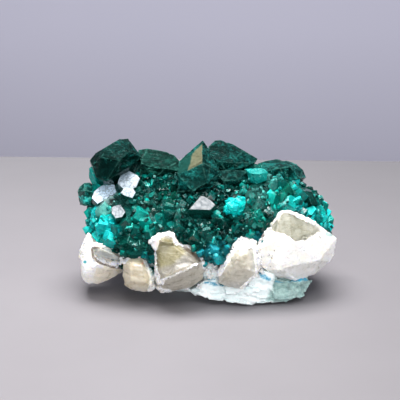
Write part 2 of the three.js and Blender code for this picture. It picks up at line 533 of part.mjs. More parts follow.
const specimen = new THREE.Group();
for (const [name, solid] of nodes) {
  const mesh = new THREE.Mesh(geometryOf(solid), new THREE.MeshStandardMaterial({ ...COLOURS[finish(name)], flatShading: true }));
  mesh.name = name;
  specimen.add(mesh);
}
specimen.position.set(...ORIGIN);

export default specimen;
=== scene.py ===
"""Looks of a dioptase specimen: dark emerald crystals over a sparkling druse, with cream calcite crystals and pale host rock."""

import math

import bmesh
import bpy
import numpy as np
from mathutils import Matrix, Vector
from mathutils.bvhtree import BVHTree


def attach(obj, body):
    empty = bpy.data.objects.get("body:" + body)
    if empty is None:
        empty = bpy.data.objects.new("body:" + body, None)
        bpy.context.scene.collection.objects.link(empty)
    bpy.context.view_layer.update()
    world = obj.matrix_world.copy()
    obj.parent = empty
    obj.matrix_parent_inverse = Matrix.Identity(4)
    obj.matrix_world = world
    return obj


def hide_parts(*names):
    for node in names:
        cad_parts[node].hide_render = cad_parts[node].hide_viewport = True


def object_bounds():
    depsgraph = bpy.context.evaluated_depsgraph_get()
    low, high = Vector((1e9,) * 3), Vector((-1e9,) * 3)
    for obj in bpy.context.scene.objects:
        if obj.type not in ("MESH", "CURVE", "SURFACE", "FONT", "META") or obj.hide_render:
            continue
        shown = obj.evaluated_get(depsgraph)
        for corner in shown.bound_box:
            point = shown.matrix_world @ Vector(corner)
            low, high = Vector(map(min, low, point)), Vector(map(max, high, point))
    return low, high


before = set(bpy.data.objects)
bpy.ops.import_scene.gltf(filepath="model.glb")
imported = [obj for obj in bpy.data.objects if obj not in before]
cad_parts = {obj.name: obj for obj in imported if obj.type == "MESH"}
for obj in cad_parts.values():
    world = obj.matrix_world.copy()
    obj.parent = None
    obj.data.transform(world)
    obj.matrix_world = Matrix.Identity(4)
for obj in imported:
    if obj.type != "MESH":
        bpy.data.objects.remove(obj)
cad_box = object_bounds()
MM = 0.001
scene = bpy.context.scene

# ------------------------------------------------------------------ the front view the outlines are drawn in
SHIFT = np.array([0.1664, -0.5, 0.0])  # the specimen's own offset from the drawing frame, mm
TILT = math.radians(16)
AIM = np.array([-1.4, 0.0, 18.7])
FAR = 300.0
UNITS = 1500.0
RIGHT = np.array([1.0, 0.0, 0.0])
UP = np.array([0.0, math.sin(TILT), math.cos(TILT)])
AHEAD = np.array([0.0, math.cos(TILT), -math.sin(TILT)])
EYE = AIM - FAR * AHEAD


def front(u, v, y):
    """The point seen at u, v that lies at depth y, in the drawing frame, mm."""
    d = AHEAD + (u - 200) / UNITS * RIGHT + (200 - v) / UNITS * UP
    return EYE + d * ((y - EYE[1]) / d[1])


def seen_at(p):
    """u, v of points in the drawing frame."""
    q = np.asarray(p) - EYE
    z = q @ AHEAD
    return 200 + UNITS * (q @ RIGHT) / z, 200 - UNITS * (q @ UP) / z


# ------------------------------------------------------------------ seeded noise on arrays of points
def _hash(ix, iy, iz, seed):
    h = (
        ix.astype(np.int64) * 0x8DA6B343
        ^ iy.astype(np.int64) * 0xD8163841
        ^ iz.astype(np.int64) * 0xCB1AB31F
        ^ seed * 0x165667B1
    ) & 0xFFFFFFFF
    h ^= h >> 13
    h = (h * 0x5BD1E995) & 0xFFFFFFFF
    h ^= h >> 15
    return (h & 0xFFFF) / 65535.0


def noise3(p, seed=0):
    """Smooth noise, -1 to 1, about one bump for each unit."""
    i = np.floor(p).astype(np.int64)
    f = p - i
    w = f * f * (3 - 2 * f)
    out = np.zeros(len(p))
    for dx in (0, 1):
        for dy in (0, 1):
            for dz in (0, 1):
                k = _hash(i[:, 0] + dx, i[:, 1] + dy, i[:, 2] + dz, seed)
                out += (
                    k
                    * (w[:, 0] if dx else 1 - w[:, 0])
                    * (w[:, 1] if dy else 1 - w[:, 1])
                    * (w[:, 2] if dz else 1 - w[:, 2])
                )
    return out * 2 - 1


def fbm(p, octaves=3, seed=0):
    out, a, s = 0, 1.0, 1.0
    for k in range(octaves):
        out = out + a * noise3(p * s, seed + 17 * k)
        a *= 0.5
        s *= 2.03
    return out / 1.75


def cells(p, seed=0):
    """Distance to the nearest of a set of scattered points, about one for each unit cell, and that cell's random number."""
    i = np.floor(p).astype(np.int64)
    best = np.full(len(p), 9.0)
    who = np.zeros(len(p))
    for dx in (-1, 0, 1):
        for dy in (-1, 0, 1):
            for dz in (-1, 0, 1):
                c = i + np.array([dx, dy, dz])
                q = np.stack(
                    [
                        c[:, k] + _hash(c[:, 0], c[:, 1], c[:, 2], seed + 5 * k + 1)
                        for k in range(3)
                    ],
                    1,
                )
                d = np.linalg.norm(p - q, axis=1)
                near = d < best
                best[near] = d[near]
                who[near] = _hash(c[:, 0], c[:, 1], c[:, 2], seed + 99)[near]
    return best, who


def smooth(a, b, x):
    t = np.clip((x - a) / (b - a), 0, 1)
    return t * t * (3 - 2 * t)


def to_path(u, v, path):
    """Distance in view units from u, v to a path of points."""
    best = np.full(len(u), 1e9)
    for (a, b), (c, d) in zip(path[:-1], path[1:]):
        l2 = (c - a) ** 2 + (d - b) ** 2 + 1e-9
        t = np.clip(((u - a) * (c - a) + (v - b) * (d - b)) / l2, 0, 1)
        best = np.minimum(best, np.hypot(u - a - t * (c - a), v - b - t * (d - b)))
    return best


def inside(u, v, outline):
    """Whether u, v lies in an outline."""
    hit = np.zeros(len(u), bool)
    n = len(outline)
    for i in range(n):
        (a, b), (c, d) = outline[i], outline[(i + 1) % n]
        cross = (b > v) != (d > v)
        x = (c - a) * (v - b) / (d - b + 1e-12) + a
        hit ^= cross & (u < x)
    return hit


# ------------------------------------------------------------------ meshes
def link(name, mesh, material, slot, *nodes):
    ob = bpy.data.objects.new(name, mesh)
    scene.collection.objects.link(ob)
    mesh.materials.clear()
    for m in material if isinstance(material, (list, tuple)) else [material]:
        mesh.materials.append(m)
    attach(ob, "root")
    if nodes:
        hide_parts(*nodes)
    return ob


def raw_mesh(name, verts, loops, starts, totals):
    me = bpy.data.meshes.new(name)
    me.vertices.add(len(verts))
    me.vertices.foreach_set("co", np.asarray(verts, np.float32).ravel())
    me.loops.add(len(loops))
    me.loops.foreach_set("vertex_index", np.asarray(loops, np.int32))
    me.polygons.add(len(starts))
    me.polygons.foreach_set("loop_start", np.asarray(starts, np.int32))
    me.polygons.foreach_set("loop_total", np.asarray(totals, np.int32))
    me.update(calc_edges=True)
    return me


def coords(me):
    a = np.empty(len(me.vertices) * 3, np.float32)
    me.vertices.foreach_get("co", a)
    return a.reshape(-1, 3).astype(float)


def normals(me):
    a = np.empty(len(me.vertices) * 3, np.float32)
    me.vertex_normals.foreach_get("vector", a)
    return a.reshape(-1, 3).astype(float)


def set_coords(me, p):
    me.vertices.foreach_set("co", np.asarray(p, np.float32).ravel())
    me.update()


def point_float(me, name, values):
    at = me.attributes.new(name, "FLOAT", "POINT")
    at.data.foreach_set("value", np.asarray(values, np.float32))


def point_colour(me, name, rgb):
    at = me.attributes.new(name, "FLOAT_COLOR", "POINT")
    rgba = np.ones((len(rgb), 4), np.float32)
    rgba[:, :3] = rgb
    at.data.foreach_set("color", rgba.ravel())


def drawn(me):
    """A mesh's vertices in the drawing frame, mm."""
    return coords(me) / MM - SHIFT


# ------------------------------------------------------------------ materials
class Nodes:
    """A short way to write node trees."""

    def __init__(self, name):
        self.m = bpy.data.materials.new(name)
        self.m.use_nodes = True
        self.t = self.m.node_tree
        self.t.nodes.clear()
        self.out = self.t.nodes.new("ShaderNodeOutputMaterial")

    def put(self, kind, inputs=None, **props):
        n = self.t.nodes.new(kind)
        for k, v in props.items():
            setattr(n, k, v)
        for k, v in (inputs or {}).items():
            s = n.inputs[k]
            if isinstance(v, bpy.types.NodeSocket):
                self.t.links.new(v, s)
            else:
                s.default_value = v
        return n

    def place(self):
        """Object coordinates in millimetres."""
        c = self.put("ShaderNodeTexCoord")
        m = self.put("ShaderNodeMapping", {"Vector": c.outputs["Object"], "Scale": (1000, 1000, 1000)})
        return m.outputs[0]

    def noise(self, where, scale, detail=3.0, rough=0.55, distortion=0.0):
        return self.put(
            "ShaderNodeTexNoise",
            {"Vector": where, "Scale": scale, "Detail": detail, "Roughness": rough, "Distortion": distortion},
        ).outputs["Fac"]

    def turned(self, where, rotation, scale):
        return self.put("ShaderNodeMapping", {"Vector": where, "Rotation": rotation, "Scale": scale}).outputs[0]

    def spread(self, fac, low, high, a=0.0, b=1.0):
        return self.put(
            "ShaderNodeMapRange",
            {"Value": fac, "From Min": low, "From Max": high, "To Min": a, "To Max": b},
            clamp=True,
        ).outputs[0]

    def mix(self, fac, a, b):
        n = self.put("ShaderNodeMix", data_type="RGBA")
        for s, v in ((n.inputs["Factor"], fac), (n.inputs[6], a), (n.inputs[7], b)):
            if isinstance(v, bpy.types.NodeSocket):
                self.t.links.new(v, s)
            else:
                s.default_value = v if s.name == "Factor" else (*v, 1)
        return n.outputs[2]

    def times(self, fac, a, b):
        n = self.put("ShaderNodeMix", data_type="RGBA", blend_type="MULTIPLY")
        for s, v in ((n.inputs["Factor"], fac), (n.inputs[6], a), (n.inputs[7], b)):
            if isinstance(v, bpy.types.NodeSocket):
                self.t.links.new(v, s)
            else:
                s.default_value = v if s.name == "Factor" else (*v, 1)
        return n.outputs[2]

    def math(self, op, a, b=0.0, c=0.0):
        n = self.put("ShaderNodeMath", operation=op)
        for s, v in zip(n.inputs, (a, b, c)):
            if isinstance(v, bpy.types.NodeSocket):
                self.t.links.new(v, s)
            else:
                s.default_value = v
        return n.outputs[0]

    def attribute(self, name, out="Fac"):
        return self.put("ShaderNodeAttribute", attribute_name=name).outputs[out]

    def bump(self, height, strength, distance, normal=None):
        i = {"Height": height, "Strength": strength, "Distance": distance}
        if normal is not None:
            i["Normal"] = normal
        return self.put("ShaderNodeBump", i).outputs[0]

    def surface(self, shader):
        self.t.links.new(shader, self.out.inputs["Surface"])
        return self.m

    def principled(self, **inputs):
        return self.put("ShaderNodeBsdfPrincipled", {k.replace("_", " "): v for k, v in inputs.items()}).outputs[0]


def deep_crystal(name, dark, light, absorb, density, clear, seed):
    """Large dioptase: a glassy skin, volume absorption inside, and streaks and veils of tiny fractures near the surface."""
    n = Nodes(name)
    p = n.place()
    along = n.turned(p, (0.5 + seed, 0.35, 0.9 + seed), (0.22, 0.22, 1.5))
    streaks = n.noise(along, 0.8, 4, 0.6, 0.3)
    mottle = n.noise(p, 0.42, 4, 0.62, 0.8)
    veils = n.math("MULTIPLY", n.spread(streaks, 0.44, 0.60), n.spread(mottle, 0.42, 0.56))
    colour = n.mix(veils, dark, light)
    fine = n.spread(n.noise(n.turned(p, (0.9, seed, 0.3), (0.6, 0.6, 3.4)), 1.3, 5, 0.75), 0.56, 0.66)
    colour = n.mix(n.math("MULTIPLY", fine, 0.6), colour, tuple(0.03 + 2.0 * c for c in light))
    patches = n.spread(n.noise(p, 0.2, 3, 0.55, 0.6), 0.42, 0.58)
    grains = n.math("MULTIPLY", n.spread(n.noise(p, 1.15, 6, 0.78, 1.2), 0.50, 0.60), n.math("ADD", 0.2, n.math("MULTIPLY", patches, 0.8)))
    colour = n.mix(n.math("MULTIPLY", grains, 0.75), colour, tuple(0.02 + 2.1 * c for c in light))
    gloom = n.spread(n.noise(p, 0.7, 5, 0.72, 1.0), 0.44, 0.57, 0.9, 0.0)
    colour = n.times(gloom, colour, (0.10, 0.16, 0.16))
    colour = n.mix(patches, n.times(1.0, colour, (0.45, 0.62, 0.62)), n.times(1.0, colour, (1.1, 1.2, 1.2)))
    # painted highlight: a lighter, less clear green near the edges, where edges catch the light
    painted_edge_highlight = n.math("MULTIPLY", n.attribute("edge"), n.spread(n.noise(p, 1.1, 4, 0.7), 0.42, 0.6))
    colour = n.mix(n.math("MULTIPLY", painted_edge_highlight, 0.5), colour, (0.09, 0.32, 0.26))
    # painted shade: each crystal's own lightness times a darkening of the faces that point up, to offset the light from
    # above
    lift = n.attribute("lift")
    colour = n.times(1.0, colour, lift)
    # film faces take their own colour; the pale olive one is painted warm light
    film = n.attribute("film")
    film_and_light_colour = n.times(n.spread(n.noise(p, 1.6, 5, 0.7), 0.35, 0.65, 0.6, 0.0), n.attribute("tint", "Color"), (0.45, 0.5, 0.45))
    colour = n.mix(film, colour, film_and_light_colour)
    rough = n.spread(n.noise(p, 0.9, 4, 0.6), 0.4, 0.7, 0.06, 0.22)
    dull = n.math("MULTIPLY", n.math("SUBTRACT", 1.0, n.attribute("gloss")), n.math("SUBTRACT", 0.74, n.math("MULTIPLY", n.spread(n.noise(n.turned(p, (0.7, 0.4 + seed, 0.2), (0.7, 0.7, 2.6)), 1.6, 5, 0.75), 0.55, 0.62), 0.58)))
    rough = n.math("ADD", rough, dull)
    rough = n.math("ADD", rough, n.math("MULTIPLY", film, 0.2))
    bump = n.bump(n.noise(along, 1.0, 3, 0.5), 0.25, 0.0003)
    bump = n.bump(n.noise(p, 0.45, 3, 0.5, 0.6), 0.15, 0.0005, bump)
    bump = n.bump(n.noise(n.turned(p, (0.6, 0.25, 1.1 + seed), (0.35, 0.35, 5.0)), 1.5, 4, 0.7), 0.3, 0.00012, bump)
    clearness = n.math("SUBTRACT", clear, n.math("MULTIPLY", veils, 0.5))
    clearness = n.math("SUBTRACT", clearness, n.math("MULTIPLY", painted_edge_highlight, 0.3))
    clearness = n.math("MULTIPLY", clearness, n.math("SUBTRACT", 1.0, film))
    clearness = n.math("MULTIPLY", clearness, n.math("ADD", 0.1, n.math("MULTIPLY", n.attribute("gloss"), 0.9)))
    shader = n.principled(
        Base_Color=colour,
        Roughness=rough,
        IOR=1.65,
        Transmission_Weight=clearness,
        Specular_IOR_Level=0.15,
        Specular_Tint=(0.05, 0.36, 0.30, 1),
        Normal=bump,
    )
    n.surface(shader)
    v = n.put("ShaderNodeVolumeAbsorption", {"Color": (*absorb, 1), "Density": density})
    n.t.links.new(v.outputs[0], n.out.inputs["Volume"])
    return n.m


def druse_material():
    """Small dioptase crystals: each has its own tint."""
    n = Nodes("dioptase_druse_crystals")
    p = n.place()
    tint = n.attribute("tint", "Color")
    mottle = n.noise(p, 1.9, 4, 0.62)
    colour = n.times(n.spread(mottle, 0.38, 0.68, 0.0, 0.8), tint, (0.3, 0.45, 0.5))
    pale = n.spread(n.noise(p, 2.6, 3, 0.7), 0.6, 0.75, 0, 0.4)
    colour = n.mix(pale, colour, n.mix(0.7, (0.25, 0.85, 0.75), tint))
    rough = n.spread(n.noise(p, 2.3, 3), 0.3, 0.7, 0.03, 0.22)
    bump = n.bump(n.noise(p, 2.6, 4, 0.7), 0.5, 0.00018)
    glint = n.mix(n.spread(n.noise(p, 1.7, 3, 0.7), 0.52, 0.62), (0.16, 0.75, 0.70), (0.9, 1.0, 1.0))
    shader = n.principled(
        Base_Color=colour,
        Roughness=rough,
        IOR=1.65,
        Transmission_Weight=0.3,
        Specular_Tint=glint,
        Normal=bump,
    )
    return n.surface(shader)


def crust_material():
    """The dark ground between the small crystals."""
    n = Nodes("dioptase_crust")
    p = n.place()
    tint = n.attribute("tint", "Color")
    grain = n.noise(p, 2.2, 5, 0.7)
    colour = n.times(n.spread(grain, 0.3, 0.65, 0.2, 1.0), tint, (0.12, 0.2, 0.2))
    bump = n.bump(n.noise(p, 2.0, 4, 0.7), 0.8, 0.0005)
    shader = n.principled(
        Base_Color=colour,
        Roughness=n.spread(grain, 0.3, 0.7, 0.1, 0.4),
        IOR=1.65,
        Specular_Tint=(0.12, 0.55, 0.52, 1),
        Normal=bump,
    )
    return n.surface(shader)


def plate_material():
    """Crystals whose flat ends carry a fine pitted, pale bluish colour that is a painted silvery reflection; film marks
    those ends.
    """
    n = Nodes("dioptase_plate")
    p = n.place()
    film = n.attribute("film")
    pits = n.noise(p, 2.4, 4, 0.75, 0.5)
    cracks = n.put("ShaderNodeTexVoronoi", {"Vector": p, "Scale": 0.95, "Randomness": 1.0}, feature="DISTANCE_TO_EDGE").outputs["Distance"]
    dark = n.math("MAXIMUM", n.spread(pits, 0.38, 0.50, 0.85, 0), n.spread(cracks, 0.0, 0.06, 0.8, 0))
    face = n.mix(dark, n.attribute("lustre", "Color"), (0.010, 0.035, 0.045))
    colour = n.mix(film, n.attribute("tint", "Color"), face)
    height = n.math("ADD", pits, n.spread(cracks, 0.0, 0.06, 0.0, 0.6))
    bump = n.bump(height, 0.5, 0.00012)
    rough = n.math("ADD", 0.12, n.math("MULTIPLY", film, 0.3))
    shader = n.principled(
        Base_Color=colour,
        Roughness=rough,
        IOR=1.65,
        Transmission_Weight=n.math("MULTIPLY", n.math("SUBTRACT", 1.0, film), 0.6),
        Coat_Weight=n.math("MULTIPLY", film, 0.35),
        Coat_Roughness=0.3,
        Coat_IOR=1.6,
        Normal=bump,
        Coat_Normal=bump,
    )
    return n.surface(shader)


def bright_material():
    """Clear turquoise dioptase, lit from within."""
    n = Nodes("dioptase_turquoise")
    p = n.place()
    tint = n.attribute("tint", "Color")
    mottle = n.noise(p, 1.3, 4, 0.6, 0.3)
    colour = n.mix(n.spread(mottle, 0.35, 0.72), n.times(0.8, tint, (0.25, 0.55, 0.55)), tint)
    bump = n.bump(n.noise(p, 3.0, 5, 0.7), 0.5, 0.0002)
    shader = n.principled(
        Base_Color=colour,
        Roughness=n.spread(n.noise(p, 2.0, 3), 0.3, 0.7, 0.08, 0.32),
        IOR=1.65,
        Transmission_Weight=0.2,
        Specular_Tint=(0.6, 1.0, 0.95, 1),
        Subsurface_Weight=0.3,
        Subsurface_Radius=(0.2, 1.0, 0.9),
        Subsurface_Scale=0.0009,
        Normal=bump,
    )
    return n.surface(shader)


def calcite_material():
    n = Nodes("calcite")
    p = n.place()
    crust = n.attribute("crust")
    cloud = n.noise(p, 0.55, 5, 0.62, 0.5)
    body = n.attribute("tint", "Color")
    core = n.times(n.spread(cloud, 0.3, 0.55, 0.55, 0), body, (0.6, 0.58, 0.52))
    core = n.mix(n.spread(cloud, 0.5, 0.7, 0, 0.4), core, n.mix(0.5, body, (0.80, 0.77, 0.69)))
    core = n.times(n.spread(n.noise(p, 1.2, 4, 0.7), 0.5, 0.7, 0, 0.5), core, (0.72, 0.69, 0.62))
    layers = n.noise(n.turned(p, (0.55, 0.65, 0.3), (0.3, 0.3, 2.4)), 1.0, 3, 0.6)
    core = n.mix(n.spread(layers, 0.55, 0.68, 0, 0.3), core, (0.80, 0.77, 0.69))
    flecks = n.spread(n.noise(p, 2.9, 3, 0.7), 0.66, 0.74)
    core = n.mix(n.math("MULTIPLY", flecks, 0.6), core, (0.93, 0.9, 0.82))
    white = n.mix(n.spread(n.noise(p, 1.6, 4, 0.7), 0.30, 0.50, 0.5, 0), (0.96, 0.95, 0.93), (0.52, 0.52, 0.50))
    white = n.mix(n.spread(n.noise(p, 0.3, 3), 0.45, 0.62, 0, 0.55), white, (0.93, 0.86, 0.72))
    edge = n.spread(n.math("ADD", crust, n.math("MULTIPLY", n.math("SUBTRACT", n.noise(p, 2.4, 4, 0.7), 0.5), 0.9)), 0.4, 0.62)
    # painted highlight: thin light lines along the core's sharp ridges
    core = n.mix(n.math("MULTIPLY", n.attribute("ridge"), 0.75), core, (0.93, 0.91, 0.86))
    colour = n.mix(edge, core, white)
    stain = n.attribute("stain")
    colour = n.mix(stain, colour, (0.02, 0.34, 0.36))
    specks = n.spread(n.noise(p, 1.5, 3, 0.6), 0.655, 0.69)
    specks = n.math("MULTIPLY", specks, n.spread(crust, 0.05, 0.5))
    colour = n.mix(n.math("MULTIPLY", specks, 0.75), colour, (0.14, 0.10, 0.07))
    # brown dirt on some crumbs, and painted shade in the crevices where a calcite crystal meets other pieces
    colour = n.mix(n.attribute("dirt_and_crevice_shade"), colour, (0.13, 0.09, 0.06))
    rough = n.spread(edge, 0.0, 1.0, 0.3, 0.75)
    rough = n.math("ADD", rough, n.spread(cloud, 0.35, 0.7, -0.08, 0.12))
    bump = n.bump(layers, 0.2, 0.00012)
    bump = n.bump(n.noise(p, 4.2, 5, 0.75), 0.45, 0.0002, bump)
    shader = n.principled(
        Base_Color=colour,
        Roughness=rough,
        IOR=1.55,
        Subsurface_Weight=0.55,
        Subsurface_Radius=(1.0, 0.82, 0.55),
        Subsurface_Scale=0.0016,
        Normal=bump,
    )
    return n.surface(shader)


def rock_material():
    n = Nodes("host_rock")
    p = n.place()
    mint = n.attribute("mint")
    blue = n.attribute("stain")
    dark = n.attribute("seam")
    cloud = n.noise(p, 0.5, 5, 0.6, 0.4)
    white = n.mix(n.spread(cloud, 0.4, 0.7), (0.90, 0.99, 0.99), (0.79, 0.94, 0.94))
    colour = n.mix(mint, white, n.mix(n.spread(n.noise(p, 1.4, 4, 0.65), 0.35, 0.65), (0.42, 0.60, 0.56), (0.22, 0.38, 0.37)))
    colour = n.mix(n.math("MULTIPLY", dark, n.spread(n.noise(p, 1.6, 4, 0.7), 0.35, 0.6)), colour, (0.26, 0.33, 0.32))
    colour = n.mix(n.math("MULTIPLY", blue, n.spread(n.noise(p, 2.2, 4, 0.7), 0.3, 0.5)), colour, (0.02, 0.30, 0.48))
    speck = n.spread(n.noise(p, 3.3, 2, 0.5), 0.735, 0.77)
    colour = n.mix(n.math("MULTIPLY", speck, 0.8), colour, (0.12, 0.13, 0.12))
    bump = n.bump(n.noise(p, 2.4, 6, 0.72), 0.6, 0.0003)
    shader = n.principled(
        Base_Color=colour,
        Roughness=0.78,
        IOR=1.5,
        Subsurface_Weight=0.3,
        Subsurface_Radius=(0.8, 1.0, 0.95),
        Subsurface_Scale=0.0006,
        Normal=bump,
    )
    return n.surface(shader)


M_DEEP = deep_crystal("dioptase_deep", (0.001, 0.044, 0.041), (0.012, 0.200, 0.178), (0.0, 0.88, 0.82), 1600, 0.82, 0.0)
M_DEEP2 = deep_crystal("dioptase_deep_clear", (0.0015, 0.045, 0.034), (0.018, 0.115, 0.088), (0.0, 0.89, 0.84), 1400, 0.8, 0.7)
M_DRUSE = druse_material()
M_CRUST = crust_material()
M_PLATE = plate_material()
M_BRIGHT = bright_material()
M_CALCITE = calcite_material()
M_ROCK = rock_material()

# ------------------------------------------------------------------ the druse's skin
SPREAD_LEFT, SPREAD_RIGHT = 23.4, 24.8
DEPTH_FRONT, DEPTH_BACK = 13.2, 12.2
FOOT, RISE, DROP, BACK = 11.0, 12.8, 4.2, 1.2


def dome(p):
    p = np.asarray(p, float)
    x, y, z = p[..., 0], p[..., 1] - BACK, p[..., 2] - FOOT
    lump = 0.04 * np.sin(p[..., 0] * 0.55 + 1.3) * np.cos(p[..., 2] * 0.5 - p[..., 1] * 0.3) + 0.03 * np.sin(
        p[..., 1] * 0.7 + p[..., 0] * 0.31 + 0.4
    )
    up = z > 0
    a = np.where(x < 0, np.abs(x / SPREAD_LEFT) ** 8, np.abs(x / SPREAD_RIGHT) ** 4.5)
    b = np.where(
        y < 0,
        np.where(up, np.abs(y / DEPTH_FRONT) ** 1.4, np.abs(y / DEPTH_FRONT) ** 2.2),
        np.abs(y / DEPTH_BACK) ** 2.2,
    )
    c = np.where(up, np.abs(z / RISE) ** 1.4, np.abs(z / DROP) ** 2.2)
    return a + b + c + lump


def dome_normal(p):
    p = np.asarray(p, float)
    g = np.stack([dome(p + e) - dome(p - e) for e in np.eye(3) * 0.05], -1)
    return g / np.linalg.norm(g, axis=-1, keepdims=True)


def skin(u, v):
    y = np.arange(-22, 20, 0.05)
    d = AHEAD + (u - 200) / UNITS * RIGHT + (200 - v) / UNITS * UP
    p = EYE + d * ((y - EYE[1]) / d[1])[:, None]
    f = dome(p)
    hit = np.nonzero(f < 1)[0]
    return p[hit[0] if len(hit) else int(np.argmin(f))]


def cast(directions):
    """Points of the skin in given directions from the druse's middle."""
    d = directions / np.linalg.norm(directions, axis=1, keepdims=True)
    low, high = np.zeros(len(d)), np.full(len(d), 60.0)
    m = np.array([0, BACK, FOOT + 1.0])
    for _ in range(32):
        r = (low + high) / 2
        within = dome(m + d * r[:, None]) < 1
        low = np.where(within, r, low)
        high = np.where(within, high, r)
    return m + d * low[:, None]


# ------------------------------------------------------------------ where the druse is which green
EMERALD = np.array([0.002, 0.10, 0.075])
DEEP = np.array([0.001, 0.035, 0.030])
TEAL = np.array([0.004, 0.46, 0.38])
TURQUOISE = np.array([0.008, 0.88, 0.80])
BLUE = np.array([0.003, 0.34, 0.42])
ICE = np.array([0.2, 0.66, 0.58])
# centre u, v, reach, tint, strength
ZONES = [
    (100, 220, 17, TURQUOISE, 0.85),
    (99, 243, 13, TURQUOISE, 0.6),
    (112, 232, 7, TURQUOISE, 0.6),
    (86, 205, 9, TEAL, 0.4),
    (120, 200, 9, ICE, 0.25),
    (137, 219, 9, TEAL, 0.7),
    (165, 222, 7, TEAL, 0.5),
    (150, 262, 10, np.array([0.004, 0.30, 0.30]), 0.8),
    (166, 190, 9, np.array([0.01, 0.2, 0.12]), 0.6),
    (176, 205, 9, ICE, 0.2),
    (205, 225, 16, DEEP, 0.6),
    (185, 230, 13, DEEP, 0.6),
    (160, 184, 14, DEEP, 0.7),
    (215, 192, 13, DEEP, 0.7),
    (232, 228, 13, DEEP, 0.6),
    (128, 206, 11, DEEP, 0.5),
    (150, 208, 10, np.array([0.10, 0.16, 0.13]), 0.25),
    (107, 200, 8, np.array([0.32, 0.33, 0.28]), 0.7),
    (275, 176, 8, ICE, 0.8),
    (240, 170, 8, DEEP, 0.8),
    (295, 232, 9, TEAL, 0.6),
    (218, 250, 13, np.array([0.02, 0.44, 0.52]), 0.9),
    (212, 262, 8, np.array([0.02, 0.5, 0.55]), 0.7),
    (216, 240, 7, TEAL, 0.6),
    (256, 196, 10, ICE, 0.6),
    (272, 198, 12, TEAL, 0.6),
    (262, 212, 12, np.array([0.01, 0.24, 0.17]), 0.7),
    (270, 214, 6, DEEP, 0.9),
    (262, 240, 9, BLUE, 0.8),
    (280, 186, 9, TEAL, 0.7),
    (291, 186, 8, np.array([0.008, 0.24, 0.16]), 0.8),
    (299, 182, 8, TURQUOISE, 0.5),
    (303, 202, 10, TURQUOISE, 0.5),
    (318, 196, 9, TEAL, 0.8),
    (322, 214, 17, TURQUOISE, 0.6),
    (331, 222, 9, TURQUOISE, 0.7),
    (300, 214, 9, BLUE, 0.7),
]


def druse_tint(p, random):
    """Tint for points p of the druse, in the drawing frame. random is 0 to 1 for each."""
    u, v = seen_at(p)
    n1, n2 = fbm(p * 0.45, 2, 3), fbm(p * 0.9, 2, 9)
    front_side = smooth(4, -2, p[:, 1])
    c = np.repeat(EMERALD[None], len(p), 0) * (1 + 0.6 * n1[:, None])
    c += (TEAL - c) * (0.7 * smooth(0.62, 0.98, random + 0.3 * n2))[:, None]
    lit = np.zeros(len(p))
    for zu, zv, r, tint, s in ZONES:
        d = np.hypot(u - zu, v - zv) / r + 0.35 * n2
        w = s * smooth(1.25, 0.55, d) * front_side
        c += (tint - c) * w[:, None]
        if tint is TURQUOISE:
            lit = np.maximum(lit, w)
    k = 0.29 + 1.15 * random**1.5 + 0.4 * lit
    c = c * k[:, None]
    return np.clip(c, 0.001, 0.92)


# ------------------------------------------------------------------ crystal templates
CAP = 1.235


def template(rng, parallel=0, bevel=0.0):
    """A dioptase crystal of half width 1 with its tip at 0, 0, 0 and its root at z = -4: six prism faces, three cap faces, each at its own distance."""

    def one(x, y, tip, scale, squash):
        bm = bmesh.new()
        bmesh.ops.create_cube(bm, size=12)

        def cut(co, no):
            g = bmesh.ops.bisect_plane(
                bm, geom=bm.verts[:] + bm.edges[:] + bm.faces[:], plane_co=co, plane_no=no, clear_outer=True
            )
            edges = [e for e in g["geom_cut"] if isinstance(e, bmesh.types.BMEdge)]
            if edges:
                bmesh.ops.contextual_create(bm, geom=edges)

        for k in range(6):
            a = math.radians(60 * k + 30)
            d = 0.86 * scale * rng.uniform(0.78, 1.08)
            n = Vector((math.cos(a) * squash[0], math.sin(a) * squash[1], 0)).normalized()
            cut(Vector((x, y, 0)) + n * d, n)
        for k in range(3):
            a = math.radians(120 * k)
            n = Vector((math.cos(a) * CAP, math.sin(a) * CAP, 1)).normalized()
            cut(Vector((x, y, tip)) + n * rng.uniform(-0.22, 0.02) * scale, n)
        cut(Vector((0, 0, -4)), Vector((0, 0, -1)))
        return bm

    squash = (rng.uniform(0.8, 1.2), rng.uniform(0.85, 1.15))
    bodies = [one(0, 0, 0, 1, squash)]
    for _ in range(parallel):
        a, r = rng.uniform(0, 2 * math.pi), rng.uniform(0.45, 1.0)
        bodies.append(one(r * math.cos(a), r * math.sin(a), -rng.uniform(0.15, 0.9), rng.uniform(0.35, 0.7), squash))
    out = bmesh.new()
    for bm in bodies:
        if bevel:
            bmesh.ops.bevel(bm, geom=bm.edges[:], offset=bevel, segments=1, profile=0.5, affect="EDGES", clamp_overlap=True)
        me = bpy.data.meshes.new("t")
        bm.to_mesh(me)
        out.from_mesh(me)
        bpy.data.meshes.remove(me)
        bm.free()
    v = np.array([w.co[:] for w in out.verts])
    loops = [[w.index for w in f.verts] for f in out.faces]
    out.free()
    return v, loops


class Pile:
    """Many small bodies joined in one mesh."""

    def __init__(self):
        self.v, self.loops, self.starts, self.totals, self.tint = [], [], [], [], []
        self.nv = self.nl = 0

    def add(self, verts, faces, tint):
        self.v.append(verts)
        self.tint.append(np.broadcast_to(tint, (len(verts), 3)))
        for f in faces:
            self.starts.append(self.nl)
            self.totals.append(len(f))
            self.loops.extend(i + self.nv for i in f)
            self.nl += len(f)
        self.nv += len(verts)

    def build(self, name, material, slot, *nodes):
        me = raw_mesh(name, (np.concatenate(self.v) + SHIFT) * MM, self.loops, self.starts, self.totals)
        me.polygons.foreach_set("use_smooth", np.zeros(len(me.polygons), bool))
        point_colour(me, "tint", np.concatenate(self.tint))
        return link(name, me, material, slot, *nodes)


